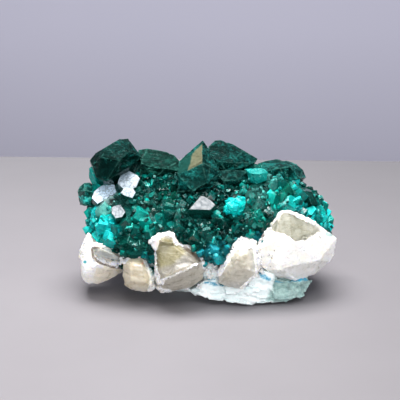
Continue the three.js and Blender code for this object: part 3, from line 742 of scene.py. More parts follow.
def turn_to(axis, spin):
    """A rotation that carries +Z to axis after a spin about it."""
    z = axis / np.linalg.norm(axis)
    x = np.cross([0, 0, 1.0], z)
    if np.linalg.norm(x) < 0.1:
        x = np.array([1.0, 0, 0])
    x /= np.linalg.norm(x)
    y = np.cross(z, x)
    r = np.stack([x, y, z], 1)
    c, s = math.cos(spin), math.sin(spin)
    return r @ np.array([[c, -s, 0], [s, c, 0], [0, 0, 1]])


rng = np.random.default_rng(4119)
SMALL = [template(rng, int(rng.integers(0, 2))) for _ in range(22)]
MIDDLE = [template(rng, int(rng.integers(1, 4)), 0.04) for _ in range(20)]

# ------------------------------------------------------------------ large crystals
def body(reference, corners):
    return np.array([front(u, v, reference + y) for u, v, y in corners])


LARGE = {
    "dioptase_top_left": [body(-0.6, [
        (96, 177, -1.2), (106, 181.5, -1.8), (118, 174, -1.8), (130, 167, -1), (119.6, 160.4, -2.8), (101, 157.5, -2.1),
        (91.8, 165, -0.4), (107, 146.5, 0), (119.6, 138.9, 2.2), (128.2, 138.4, 3), (142, 157, 2.6), (137, 150, 3.4),
        (129.5, 151, 0), (89.6, 160.5, 1.4), (95.2, 153.2, 1.3), (100, 151, 1.4), (98, 162, 8), (114, 144, 8.6),
        (128, 141, 8.8), (139, 158, 8.2), (122, 176, 7), (100, 178, 6), (91, 166, 5), (104, 190, 4), (122, 189, 4.5)])],
    "dioptase_top_long": [body(1.2, [
        (138, 150, 3.2), (147, 148.4, 3.4), (156.4, 149.8, 3.4), (166.6, 152, 3.1), (174.6, 155.4, 2.7), (179.4, 161, 1.4),
        (141, 163, -1.2), (151, 166.8, -2.2), (165, 168.6, -2.2), (178.6, 170.5, -1.1), (140, 175, -0.2), (155, 178, -0.7),
        (176.5, 176, -0.1), (141, 158, 7.5), (172, 161, 7.5), (172, 174, 6.5), (142, 173, 6.5), (150, 190, 3.5), (170, 190, 3.5)])],
    "dioptase_top_centre": [body(-2.4, [
        (202.7, 140.2, 3.6), (178.6, 161, 1), (177.2, 174, -1.7), (201.8, 161, -0.8), (206.9, 146, 4.2), (210.5, 166.5, -0.4),
        (221, 173, 0.8), (225, 182, 1.2), (178, 192, -2.8), (193, 191, -3.6), (207, 183.5, -3), (184, 203.5, -1.2),
        (196, 198.4, -1.4), (207, 193.5, -0.8), (222, 187, 0.6), (182, 168, 7), (204, 151, 8), (221, 174, 7.5), (190, 198, 6)]),
        body(-0.6, [
        (214, 171, -0.2), (232, 169.5, -0.8), (247, 171, -0.2), (250.5, 182, -0.6), (243, 190, -1.6), (231, 196, -1.8),
        (222, 199, -1.2), (212, 193, -0.8), (224, 181, -3), (238, 180, -2.6), (216, 172, 6), (248, 173, 6.5), (240, 192, 5.5),
        (216, 196, 5.5)])],
    "dioptase_top_right": [body(1.4, [
        (206.4, 148.5, 0.8), (215.2, 140.3, 3.6), (220.5, 140, 3.8), (233.2, 144.4, 3.4), (243.2, 151, 2.4), (231, 162.4, -1),
        (219.6, 161.2, -1.6), (207, 156, -0.9), (257.8, 158.8, 2.4), (254.5, 163, 1.4), (240, 168.2, -0.7), (226, 170.6, -1.5),
        (213, 166, -1.3), (211, 150, 9), (234, 149, 9.5), (253, 160, 8.5), (238, 170, 7.5), (213, 166, 7.5), (224, 184, 5),
        (242, 184, 5)])],
    "dioptase_right_shoulder": [body(3, [
        (257.5, 163.5, 1.4), (265, 161.2, 2.4), (276.4, 159, 3), (287.4, 160.8, 3), (296.4, 164, 2.4), (303, 170, 1.6),
        (306, 177.5, 1.4), (266, 171, -1.6), (280, 168, -2), (289.6, 166.4, -1.6), (300, 178, -1.2), (286, 181, -2.2),
        (268, 179, -1.6), (262, 168, 8), (290, 167, 9), (303, 175, 8), (282, 184, 8), (274, 192, 4), (294, 192, 4)])],
    "dioptase_left_edge": [body(2.2, [
        (77.6, 191.6, 1), (79.6, 186.8, 1.4), (84, 183, 1.2), (90, 182.4, 1), (94.2, 185, 0.6), (85, 190, -1.6),
        (92.6, 192, -1.2), (79.5, 205, 0.8), (84.5, 206, -1.2), (91, 206, -0.6), (80, 188, 5), (92, 185, 5.5), (81, 204, 5),
        (90, 206, 5)])],
}


def habit(tip, axis, r, length, spin):
    rot = turn_to(np.array(axis, float), 0)
    pts = [np.array(tip, float)]
    for k in range(6):
        a = spin + k * math.pi / 3
        drop = (0.617 if k % 2 else 1.235) * r
        for z in (-drop, -length):
            pts.append(np.array(tip) + rot @ np.array([r * math.cos(a), r * math.sin(a), z]))
    return np.array(pts)


AROUND = {
    "dioptase_back_left": ((-13.5, 9.6, 24.6), (-0.25, 0.55, 0.8), 4.1, 10.5, 0.3),
    "dioptase_back_centre": ((-1.6, 12.6, 22.8), (0.1, 0.8, 0.6), 4.6, 11.5, 0.9),
    "dioptase_back_right": ((9.6, 11.2, 22.4), (0.25, 0.7, 0.66), 3.9, 10.5, 0.1),
    "dioptase_back_low": ((4.2, 15.6, 16.4), (0.1, 0.96, 0.25), 3.2, 8.5, 1.3),
    "dioptase_right_back": ((21.8, 8.4, 17.6), (0.72, 0.45, 0.53), 3.3, 8.5, 0.6),
    "dioptase_left_back": ((-24.4, 7.8, 17.6), (-0.8, 0.35, 0.45), 3.2, 8.5, 0.2),
}
for key, (tip, axis, r, length, spin) in AROUND.items():
    LARGE[key] = [habit(tip, axis, r, length, spin)]

SHINING = np.array([0, -0.648, 0.761])


def plated(reference, turn, outline, height, shrink=0.72):
    n = Matrix.Rotation(turn[1], 3, "X") @ Matrix.Rotation(turn[0], 3, "Z") @ Vector(SHINING)
    n = np.array(n[:])
    cu, cv = np.mean([p[0] for p in outline]), np.mean([p[1] for p in outline])
    y = skin(cu, cv)[1] + reference
    mid = front(cu, cv, y)

    def on(u, v):
        d = AHEAD + (u - 200) / UNITS * RIGHT + (200 - v) / UNITS * UP
        return EYE + d * ((mid - EYE) @ n / (d @ n))

    top = np.array([on(u, v) for u, v in outline])
    return [np.concatenate([top, top - n * height * 0.45, (top - mid) * shrink + mid - n * height])], n, mid


PLATES = {
    "dioptase_plate_upper": [
        plated(-1.6, (0.01, 0.0), [(118, 181), (122.8, 169.8), (128, 170.2), (137.2, 175), (140.2, 178.4), (136.3, 187.2), (132.5, 188.6), (122.5, 188.4), (117.6, 184)], 4.2),
        plated(-1.9, (-0.015, 0.01), [(120.2, 193), (124.4, 187.2), (133.4, 188.2), (135.8, 192.4), (132.6, 198.2), (125, 195.8)], 3.8),
    ],
    "dioptase_plate_left": [plated(-1.3, (0.02, -0.01), [(91.6, 198), (94, 191.4), (101, 185.8), (111.4, 181.4), (114.6, 185), (117, 192.4), (112, 195.4), (101, 199.6), (97.5, 204)], 4)],
    "dioptase_plate_centre": [plated(-1.6, (-0.02, 0.015), [(188.8, 209.4), (200.6, 196), (204.6, 196.4), (212, 201.2), (215.4, 205), (210.2, 210)], 3.6, 0.8)],
    "dioptase_plate_small": [plated(-0.9, (0.0, 0.02), [(111.4, 207.5), (114, 205.8), (120.4, 204.4), (125.6, 212), (122, 217), (115.6, 218.4), (111.6, 213)], 3)],
}
BRIGHT = {
    "dioptase_bright_centre": [body(skin(234, 206)[1] + 0.4, [
        (222.2, 208.5, -1.6), (226.5, 203, -1), (230, 198.2, 0), (239, 197, 0.2), (244.6, 196.6, 0.5), (246, 203, -0.4),
        (242.6, 210, -1.2), (236.5, 216.2, -1.6), (227, 213.6, -2), (232, 207, -2.8), (227, 205, 4), (243, 200, 4), (236, 213, 3.6)])],
    "dioptase_teal_left": [body(1, [
        (88.8, 168.6, 0.4), (92, 166, 0.6), (96, 170, 0.2), (99, 178, -0.4), (97.4, 184.6, -0.6), (92, 184, -0.2), (89, 178, 0.2),
        (94, 176, -1), (90, 169, 4), (97, 172, 4), (98, 183, 4), (91, 182, 4)])],
    "dioptase_teal_block": [body(skin(256, 176)[1] - 0.2, [
        (245.5, 169, 0.2), (253, 168, 0.6), (261.6, 167.2, 1), (268, 172, 0.6), (266.5, 180.6, -1), (257, 184, -1.8),
        (247, 182, -1.4), (250, 173, -2.4), (262, 174, -2.2), (248, 171, 5), (266, 172, 5.4), (262, 182, 4.4), (249, 182, 4.4)])],
}


def facets(points, bevel=0.08, segments=1, fine=0.32, flat=9.0):
    """A convex crystal in mm with rounded edges, cut into small triangles."""
    bm = bmesh.new()
    for p in points:
        bm.verts.new(p)
    g = bmesh.ops.convex_hull(bm, input=bm.verts)
    loose = [e for e in g["geom_interior"] if isinstance(e, bmesh.types.BMVert)]
    if loose:
        bmesh.ops.delete(bm, geom=loose, context="VERTS")
    bmesh.ops.dissolve_limit(bm, angle_limit=math.radians(flat), verts=bm.verts, edges=bm.edges)
    edges = [np.array([e.verts[0].co[:], e.verts[1].co[:]]) for e in bm.edges]
    if bevel:
        bmesh.ops.bevel(bm, geom=bm.edges[:], offset=bevel, segments=segments, profile=0.6, affect="EDGES", clamp_overlap=True)
    bmesh.ops.triangulate(bm, faces=bm.faces)
    for _ in range(7):
        long = [e for e in bm.edges if e.calc_length() > fine]
        if not long:
            break
        bmesh.ops.subdivide_edges(bm, edges=long, cuts=1, use_grid_fill=False)
        bmesh.ops.triangulate(bm, faces=[f for f in bm.faces if len(f.verts) > 3])
    bmesh.ops.recalc_face_normals(bm, faces=bm.faces)
    me = bpy.data.meshes.new("f")
    bm.to_mesh(me)
    bm.free()
    return me, edges


def edge_distance(p, edges):
    best = np.full(len(p), 1e9)
    for e in edges:
        a, b = e
        ab = b - a
        t = np.clip(((p - a) @ ab) / (ab @ ab + 1e-12), 0, 1)
        best = np.minimum(best, np.linalg.norm(p - a - t[:, None] * ab, axis=1))
    return best


def merge_meshes(name, meshes, attributes):
    """Joins meshes in mm and their arrays of attributes into one in metres."""
    v, loops, starts, totals, nv, nl = [], [], [], [], 0, 0
    for me in meshes:
        p = coords(me)
        li = np.empty(len(me.loops), np.int32)
        me.loops.foreach_get("vertex_index", li)
        st = np.empty(len(me.polygons), np.int32)
        me.polygons.foreach_get("loop_start", st)
        to = np.empty(len(me.polygons), np.int32)
        me.polygons.foreach_get("loop_total", to)
        v.append(p)
        loops.append(li + nv)
        starts.append(st + nl)
        totals.append(to)
        nv += len(p)
        nl += len(li)
        bpy.data.meshes.remove(me)
    me = raw_mesh(name, (np.concatenate(v) + SHIFT) * MM, np.concatenate(loops), np.concatenate(starts), np.concatenate(totals))
    for key, arrays in attributes.items():
        a = np.concatenate(arrays)
        (point_colour if a.ndim == 2 else point_float)(me, key, a)
    return me


def shade(me, degrees=28):
    me.polygons.foreach_set("use_smooth", np.ones(len(me.polygons), bool))
    me.set_sharp_from_angle(angle=math.radians(degrees))


# films on the centre crystal's upper left: a pale olive face, which is painted warm light falling on it, and a
# blue-green one
FILMS_AND_PAINTED_LIGHT = {
    "dioptase_top_centre": [
        ([(202.3, 143.6), (202.3, 163.3), (187, 171), (190.5, 163.5), (192.2, 153.4)], (0.135, 0.132, 0.082), 0.95),
        ([(192.2, 153.2), (190.4, 163.4), (187, 171), (178.6, 173), (179.6, 160)], (0.009, 0.055, 0.045), 0.9),
    ],
}


# how light each crystal's inside is
GAIN = {"dioptase_top_left": 0.75, "dioptase_top_centre": 1.05, "dioptase_right_shoulder": 1.5, "dioptase_left_edge": 3.2, "dioptase_top_long": 1.75}


def large(name, bodies, material, slot, tint=(0.02, 0.2, 0.16), seed=0, rough=1.0, fine=0.3):
    meshes, tints, film_and_light_masks, rims, tone_and_top_shades, gloss = [], [], [], [], [], []
    for k, points in enumerate(bodies):
        me, edges = facets(points, fine=fine)
        p = coords(me)
        n = normals(me)
        d = edge_distance(p, edges)
        q = p + seed * 3.1
        wave = 0.03 * fbm(q * 0.5, 2, 5)
        chips = np.clip(fbm(q * 0.9, 3, 11) - 0.12, 0, 1) * smooth(0.9, 0.0, d) * 0.6
        lay = (p @ np.array([0.35, 0.5, 0.8])) * 0.55 + 1.5 * fbm(q * 0.22, 2, 2)
        steps = 0.055 * (np.round(lay) % 2) * smooth(0.05, 0.4, d) * (fbm(q * 0.2, 2, 77) > -0.05)
        p = p + n * ((wave - chips - steps) * rough)[:, None]
        set_coords(me, p)
        u, v = seen_at(p)
        film = np.zeros(len(p))
        c = np.repeat(np.array(tint, float)[None], len(p), 0)
        # painted light: the pale olive film face stands for warm light falling on it
        for outline, colour, strength in FILMS_AND_PAINTED_LIGHT.get(name, []) if k == 0 else []:
            hit = inside(u + 0.3 * noise3(p * 1.5, 3), v + 0.3 * noise3(p * 1.5, 4), outline) & (n[:, 1] < 0.2)
            film[hit] = strength
            c[hit] = colour
        meshes.append(me)
        tints.append(c)
        film_and_light_masks.append(film)
        rims.append(smooth(0.22, 0.03, d))
        # painted shade: faces that point up are made up to 68% darker, to offset the light from above; GAIN is each
        # crystal's own lightness
        up = smooth(0.15, 0.7, n[:, 2])
        tone_and_top_shades.append(GAIN.get(name, 1.0) * (1 - 0.68 * up))
        gloss.append(1 - 0.93 * up)
    me = merge_meshes(name + "_crystal", meshes, {"tint": tints, "film": film_and_light_masks, "edge": rims, "lift": tone_and_top_shades, "gloss": gloss})
    shade(me, 17)
    return link(name + "_crystal", me, material, slot, name)


for i, (key, bodies) in enumerate(LARGE.items()):
    large(key, bodies, M_DEEP2 if key in ("dioptase_top_long", "dioptase_back_right") else M_DEEP, "dioptase", seed=i)
for i, (key, bodies) in enumerate(BRIGHT.items()):
    tint = {"dioptase_bright_centre": (0.0, 0.82, 0.74), "dioptase_teal_left": (0.0, 0.36, 0.32), "dioptase_teal_block": (0.01, 0.42, 0.38)}[key]
    large(key, bodies, M_BRIGHT, "dioptase_bright", tint, 20 + i, 1.6)


def plates(name, parts, seed, painted_light_gain):
    meshes, tints, film_and_light_masks, painted_lustres = [], [], [], []
    for (pts, n, mid) in parts:
        me, edges = facets(pts[0], bevel=0.05, fine=0.4, flat=4.0)
        p, nn = coords(me), normals(me)
        d = edge_distance(p, edges)
        flat = smooth(0.72, 0.86, nn @ n)
        chips = np.clip(fbm((p + seed) * 1.6, 3, 21) - 0.15, 0, 1) * smooth(0.35, 0.0, d) * 0.3
        p = p + nn * (0.03 * fbm((p + seed) * 0.8, 2, 7) - chips)[:, None]
        set_coords(me, p)
        meshes.append(me)
        tints.append(np.repeat(np.array([[0.01, 0.15, 0.12]]), len(p), 0))
        film_and_light_masks.append(flat)
        # painted reflection: the flat ends get a pale bluish silvery colour, scaled for each plate
        painted_lustres.append(np.repeat(np.array([[0.122, 0.161, 0.198]]) * painted_light_gain, len(p), 0))
    me = merge_meshes(name + "_crystal", meshes, {"tint": tints, "film": film_and_light_masks, "lustre": painted_lustres})
    shade(me)
    return link(name + "_crystal", me, M_PLATE, "dioptase", name)


for i, (key, parts) in enumerate(PLATES.items()):
    # painted light: each plate's face colour is scaled to the light it shows, much lighter for the left one in the top
    # left crystal's shade, darker for the centre one
    plates(key, parts, i * 5.0, {"dioptase_plate_upper": 1.9, "dioptase_plate_left": 4.2, "dioptase_plate_centre": 0.45}.get(key, 0.9))

# ------------------------------------------------------------------ what the small crystals keep clear of
solid_nodes = [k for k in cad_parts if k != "dioptase_druse"]


def tree_of(names):
    v, f, n = [], [], 0
    for k in names:
        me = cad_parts[k].data
        p = coords(me) / MM - SHIFT
        v.extend(map(tuple, p))
        for poly in me.polygons:
            f.append([i + n for i in poly.vertices])
        n += len(p)
    return BVHTree.FromPolygons(v, f)


others = tree_of(solid_nodes)
calcites = tree_of([k for k in solid_nodes if k.startswith("calcite")])


def depth_in(tree, p):
    """How deep a point lies inside the tree's solids, negative outside."""
    co, no, _, dist = tree.find_nearest(Vector(p))
    if co is None:
        return -99.0
    return dist if (Vector(p) - co).dot(no) < 0 else -dist


# ------------------------------------------------------------------ the crust
def crust():
    bm = bmesh.new()
    bmesh.ops.create_icosphere(bm, subdivisions=6, radius=1.0)
    me = bpy.data.meshes.new("druse_crust")
    bm.to_mesh(me)
    bm.free()
    d = coords(me)
    p = cast(d * np.array([1.5, 1.0, 1.0]))
    n = dome_normal(p)
    f, who = cells(p * 0.8, 3)
    f2, who2 = cells(p * 1.9, 4)
    p = p + n * (0.5 * (who - 0.5) + 0.35 * (0.6 - f) + 0.18 * (who2 - 0.5) - 0.35)[:, None]
    for i in np.nonzero((p[:, 1] < 4) & (p[:, 2] < 26))[0]:
        hit = kept.ray_cast(Vector(p[i]), ahead, 3.0)
        if hit[0] is not None:
            p[i] -= n[i] * (hit[3] * 0.9 + 0.3)
    set_coords(me, (p + SHIFT) * MM)
    point_colour(me, "tint", druse_tint(p, np.clip(0.3 + 0.4 * who, 0, 1)))
    me.polygons.foreach_set("use_smooth", np.zeros(len(me.polygons), bool))
    return link("druse_crust", me, M_CRUST, "dioptase_druse", "dioptase_druse")


# middle-sized crystals of the front, [u, v, lift, half width, lean to the right, lean up, spin]
PLACED = [
    (86, 212, 0.7, 1.5, -0.5, 0.2, 0.2), (91, 226, 0.7, 1.4, -0.5, -0.1, 0.9), (97, 213, 1.5, 1.7, -0.3, 0.5, 0.5),
    (104, 226, 1.9, 1.9, -0.2, 0.4, 1.2), (97, 236, 1.4, 1.6, -0.4, 0.1, 0.1), (109, 240, 1.4, 1.7, 0.1, 0.1, 0.7),
    (117, 230, 1.6, 1.8, 0.2, 0.3, 1.6), (127, 224, 1.7, 1.7, 0.2, 0.5, 0.4), (140, 215, 1.9, 2, 0.1, 0.6, 0.8),
    (137, 229, 1.5, 1.7, -0.3, 0.2, 1.1), (127, 243, 1.6, 2.1, 0.4, -0.2, 0.3), (141, 246, 1.3, 1.8, 0.3, -0.1, 0.6),
    (150, 234, 1.6, 1.7, 0.2, 0.3, 1.9), (152, 203, 1.2, 1.6, -0.2, 0.7, 0.2), (150, 190, 1.3, 1.9, 0.1, 0.7, 0.5),
    (165, 188, 1.5, 2.1, 0.1, 0.8, 1.3), (164, 204, 1.4, 1.9, -0.1, 0.6, 0.9), (163, 219, 1.6, 1.9, 0.3, 0.4, 1.5),
    (176, 214, 1.4, 1.7, 0.2, 0.5, 0.1), (178, 228, 1.6, 1.9, -0.1, 0.3, 0.8), (192, 222, 1.9, 2.3, -0.1, 0.4, 1),
    (207, 218, 2.1, 2.7, 0.1, 0.5, 0.3), (223, 223, 1.9, 2.3, 0.2, 0.4, 1.4), (194, 238, 1.5, 1.8, -0.1, 0.2, 0.4),
    (210, 236, 1.6, 1.9, 0.1, 0.2, 1.7), (227, 238, 1.3, 1.6, 0.2, 0.2, 0.6), (213, 250, 1.1, 1.4, 0, 0, 1),
    (238, 226, 1.6, 1.9, 0.2, 0.3, 1.2), (252, 222, 1.9, 2.2, 0.1, 0.4, 0.2), (257, 206, 1.7, 1.9, 0.2, 0.6, 0.7),
    (250, 195, 1.4, 1.5, -0.1, 0.7, 1.6), (262, 192, 1.7, 1.8, 0.2, 0.6, 0.9), (274, 184, 1.5, 1.8, 0.2, 0.7, 0.4),
    (273, 200, 1.7, 2, 0.3, 0.5, 1.1), (264, 234, 1.1, 1.4, 0.1, 0.1, 0.5), (286, 190, 1.7, 2, 0.4, 0.6, 0.2),
    (284, 206, 1.5, 1.7, 0.3, 0.4, 1.4), (299, 187, 1.5, 1.8, 0.5, 0.6, 0.8), (298, 201, 1.8, 2, 0.4, 0.4, 0.1),
    (312, 196, 1.8, 2.1, 0.6, 0.5, 1.3), (311, 211, 1.6, 1.7, 0.5, 0.2, 0.6), (323, 205, 1.4, 1.8, 0.8, 0.3, 1),
    (322, 219, 1.3, 1.6, 0.7, 0.1, 0.3), (331, 220, 0.6, 1.4, 0.9, 0.1, 0.9), (116, 220, 1.2, 1.4, 0.1, 0.5, 0.6),
    (146, 256, 0.9, 1.3, 0.2, -0.2, 0.2), (182, 241, 1, 1.3, 0, 0.1, 0.5), (151, 263, 0.4, 1.5, 0.1, -0.4, 0.9),
]

box_low = np.array(cad_box[0]) / MM - SHIFT + 0.05
box_high = np.array(cad_box[1]) / MM - SHIFT - 0.05


kept = tree_of([k for k in solid_nodes if k.startswith("calcite") or "plate" in k or "bright" in k or "teal" in k])
ahead = Vector(AHEAD)


def hides(p, r):
    """Whether something at p stands in front of a piece that shows whole."""
    if p[1] > 4:
        return False
    for a, b in ((0, 0), (0.9, -0.3), (-0.9, -0.3), (0, 0.9), (0, -1.6), (0.8, -1.2), (-0.8, -1.2)):
        q = Vector(p) - ahead * r * 0.5 + Vector(RIGHT) * a * r + Vector(UP) * b * r
        if kept.ray_cast(q, ahead, 3.2)[0] is not None:
            return True
    return False


def plant(pile, kinds, tip, axis, r, spin, tint, sink=None, always=False):
    """Puts a crystal with its tip at tip unless it would stand in something else or outside the specimen's box."""
    if not always and depth_in(others, tip) > -0.05:
        return False
    if not always and hides(tip, r):
        return False
    v, faces = kinds[int(rng.integers(len(kinds)))]
    w = v.copy()
    w[:, 2] = np.maximum(w[:, 2], -(sink or 3.2))
    # painted glow: the tint lightens towards each crystal's tip, for light passing through it, times a random tone for
    # each vertex
    painted_tip_glow = (0.4 + 0.8 * smooth(-2.2, -0.2, w[:, 2])) * rng.uniform(0.4, 1.7, len(w))
    w = (w * r) @ turn_to(axis, spin).T + tip
    if (w < box_low).any() or (w > box_high).any():
        return False
    pile.add(w, faces, np.clip(tint[None] * painted_tip_glow[:, None], 0.001, 0.93))
    return True


crust()
front_pile, back_pile = Pile(), Pile()
for u, v, lift, r, right, up, spin in PLACED:
    at = skin(u, v)
    axis = dome_normal(at) + 0.6 * np.array([right, -0.35, up])
    axis /= np.linalg.norm(axis)
    tip = at + axis * lift * 1.05
    t = druse_tint(at[None] + axis * 1.0, np.array([rng.uniform(0.3, 0.8)]))[0]
    plant(front_pile, MIDDLE, tip, axis, r * 0.95, spin, t, 2.2, v > 222 and u < 255)


# crystals that close the gaps between the large ones: u, v, depth of the tip, half width, axis, tint
for u, v, y, r, axis, t in (
    (97, 181, 0.6, 1.9, (-0.3, -0.3, 0.9), TEAL),
    (96, 177, 2.4, 1.8, (-0.2, -0.2, 1.0), TEAL * 0.8),
    (93, 189, 1.0, 1.8, (-0.5, -0.3, 0.8), EMERALD),
    (101, 188, 0.8, 1.6, (-0.2, -0.4, 0.9), TEAL * 0.7),
    (140, 157, 3.6, 2.3, (0.1, -0.1, 1.0), DEEP * 1.4),
    (138, 166, 2.2, 2.2, (0.2, -0.5, 0.8), DEEP),
    (146, 176, 0.2, 2.2, (0.1, -0.7, 0.7), EMERALD),
    (160, 179, -0.4, 2.2, (0.3, -0.7, 0.7), DEEP * 1.4),
    (172, 180, -0.8, 1.9, (-0.3, -0.6, 0.7), EMERALD),
    (210, 160, 2.0, 2.0, (0.0, -0.3, 0.9), DEEP),
    (256, 166, 3.6, 1.9, (0.1, -0.3, 0.9), EMERALD),
    (254.5, 164.5, 2.2, 1.7, (0.05, -0.2, 0.95), EMERALD),
    (257.5, 167, 1.2, 1.8, (0.1, -0.3, 0.9), EMERALD * 1.2),
    (255, 162, 3.4, 1.7, (0.0, -0.1, 1.0), EMERALD),
    (257.6, 162.3, 2.8, 1.7, (0.05, -0.1, 1.0), EMERALD * 1.3),
    (260.5, 163, 3.4, 1.6, (0.1, -0.1, 1.0), EMERALD),
    (329, 203, 3.2, 1.5, (0.8, -0.3, 0.5), TURQUOISE * 0.7),
    (333.5, 211, 2.0, 1.5, (0.8, -0.4, 0.4), TURQUOISE * 0.8),
    (335, 219, 1.6, 1.4, (0.85, -0.4, 0.3), TEAL),
    (334.5, 226, 0.8, 1.4, (0.85, -0.5, 0.2), TURQUOISE * 0.8),
    (205, 199, -1.4, 1.5, (0.0, -0.5, 0.85), np.array([0.12, 0.16, 0.16])),
    (272, 170, 1.0, 2.3, (0.5, -0.6, 0.7), ICE * 0.8),
    (282, 175, 0.6, 2.1, (0.3, -0.7, 0.7), TURQUOISE * 0.8),
    (300, 177, 2.2, 2.1, (0.7, -0.4, 0.7), TURQUOISE * 0.7),
):
    axis = np.array(axis) / np.linalg.norm(axis)
    plant(front_pile, MIDDLE, front(u, v, y), axis, r, rng.uniform(0, 6.28), t, 2.6, True)


for u, v, r in ((114, 181, 1.0), (110, 184, 0.7), (107, 201, 1.0), (101, 203, 0.9), (112, 198, 0.8), (210, 198, 1.1), (206, 195, 0.8), (99, 184, 0.7)):
    at = skin(u, v)
    axis = dome_normal(at) + np.array([rng.normal(0, 0.2), -0.3, 0.4])
    axis /= np.linalg.norm(axis)
    plant(front_pile, SMALL, at + axis * 1.1, axis, r, rng.uniform(0, 6.28), np.array([0.22, 0.26, 0.25]), 2.6, True)

bright_tree = tree_of(["dioptase_bright_centre"])
for u, v, r in (
    (224, 206, 0.9), (228, 201, 0.8), (232, 199, 0.9), (239, 198, 0.8), (244, 199, 0.9), (244, 206, 1.0), (240, 212, 0.9),
    (235, 215, 0.8), (229, 212, 1.0), (225, 211, 0.7), (234, 206, 0.8), (238, 203, 0.7), (230, 206, 0.8), (236, 210, 0.7),
):
    d = Vector(AHEAD + (u - 200) / UNITS * RIGHT + (200 - v) / UNITS * UP).normalized()
    co, no, _, _ = bright_tree.ray_cast(Vector(EYE), d)
    if co is None:
        continue
    axis = np.array(no[:]) + rng.normal(0, 0.45, 3) + np.array([0, -0.2, 0.3])
    axis /= np.linalg.norm(axis)
    plant(front_pile, SMALL, np.array(co[:]) + axis * 0.45, axis, r, rng.uniform(0, 6.28), TURQUOISE * rng.uniform(0.75, 1.25), 2.0, True)


def over_dome(count, start, reach):
    i = np.arange(count)
    z = 1 - (i + 0.5) * (reach / count)
    a = i * 2.399963 + start
    s = np.sqrt(np.clip(1 - z * z, 0, 1))
    at = cast(np.stack([s * np.cos(a) * 1.5, s * np.sin(a), z * 1.1 + 0.12], 1))
    return at, dome_normal(at)


# middle-sized crystals everywhere
at, nn = over_dome(900, 0.0, 1.8)
for p, n in zip(at, nn):
    if p[2] < 7.2:
        continue
    p = p + rng.normal(0, 0.35, 3)
    axis = n + rng.normal(0, 0.62, 3) + np.array([0, -0.05, 0.3])
    axis /= np.linalg.norm(axis)
    r = 0.85 + 1.2 * rng.random() ** 1.8
    t = druse_tint(p[None] + axis, np.array([rng.random()]))[0]
    pile = front_pile if n[1] < -0.1 else back_pile
    plant(pile, MIDDLE, p + axis * r * rng.uniform(0.35, 1.0), axis, r, rng.uniform(0, 6.28), t, 2.4)
gap_pile = Pile()
front_pile.build("druse_crystals_front", M_DRUSE, "dioptase_druse")
back_pile.build("druse_crystals_back", M_DRUSE, "dioptase_druse")

at, nn = over_dome(1500, 2.1, 1.82)
for p, n in zip(at, nn):
    if p[2] < 7.0:
        continue
    p = p + rng.normal(0, 0.3, 3)
    axis = n + rng.normal(0, 0.75, 3) + np.array([0, -0.05, 0.25])
    axis /= np.linalg.norm(axis)
    r = 0.5 + 0.4 * rng.random()
    t = druse_tint(p[None] + axis, np.array([rng.random()]))[0]
    plant(gap_pile, SMALL, p + axis * r * rng.uniform(0.3, 1.0) + n * 0.15, axis, r, rng.uniform(0, 6.28), t, 2.4)


def fine_druse(p):
    """Where the front's druse is fine, 0 to 1."""
    u, v = seen_at(p)
    return max(float(smooth(1.2, 0.5, math.hypot(u - a, v - b) / r)) for a, b, r in ((218, 252, 14), (326, 214, 16), (98, 228, 12), (152, 262, 10), (262, 238, 9)))


# small ones fill the rest
small, spare = Pile(), Pile()
at, nn = over_dome(2600, 0.7, 1.84)
at = at + rng.normal(0, 0.25, at.shape)
tints = druse_tint(at, rng.random(len(at)))
for p, n, t in zip(at, nn, tints):
    if p[2] < 6.9:
        continue
    if n[1] < -0.1 and rng.random() < 0.3 - 0.5 * fine_druse(p):
        continue
    axis = n + rng.normal(0, 0.8, 3) + np.array([0, 0, 0.15])
    axis /= np.linalg.norm(axis)
    r = 0.3 + 0.34 * rng.random() ** 2
    tip = p + n * rng.uniform(0.0, 0.9) + axis * r * 0.6
    # none hangs loose under the druse's edge in front of the thin calcite crystal
    loose = -19.8 < tip[0] < -17.8 and tip[1] < -10.3 and tip[2] < 10.1
    plant(spare if loose else small, SMALL, tip, axis, r, rng.uniform(0, 6.28), t, 2.6)
gap_pile.build("druse_crystals_small", M_DRUSE, "dioptase_druse")
small.build("druse_grains", M_DRUSE, "dioptase_druse")


# ------------------------------------------------------------------ calcite
def remeshed(name, node, size):
    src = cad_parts[node].data
    me = src.copy()
    ob = bpy.data.objects.new("tmp", me)
    scene.collection.objects.link(ob)
    mod = ob.modifiers.new("r", "REMESH")
    mod.mode = "VOXEL"
    mod.voxel_size = size * MM
    dg = bpy.context.evaluated_depsgraph_get()
    out = bpy.data.meshes.new_from_object(ob.evaluated_get(dg))
    out.name = name
    bpy.data.objects.remove(ob)
    bpy.data.meshes.remove(me)
    for at in list(out.attributes):
        if at.name not in ("position", ".edge_verts", ".corner_vert", ".corner_edge", "material_index", "sharp_face") and not at.is_required:
            out.attributes.remove(at)
    return out


def sharp_edges(node, degrees=20):
    bm = bmesh.new()
    bm.from_mesh(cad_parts[node].data)
    bmesh.ops.remove_doubles(bm, verts=bm.verts, dist=1e-7)
    out = []
    for e in bm.edges:
        if len(e.link_faces) == 2 and e.calc_face_angle_signed() > math.radians(degrees):
            out.append(np.array([e.verts[0].co[:], e.verts[1].co[:]]) / MM - SHIFT)
    bm.free()
    return out


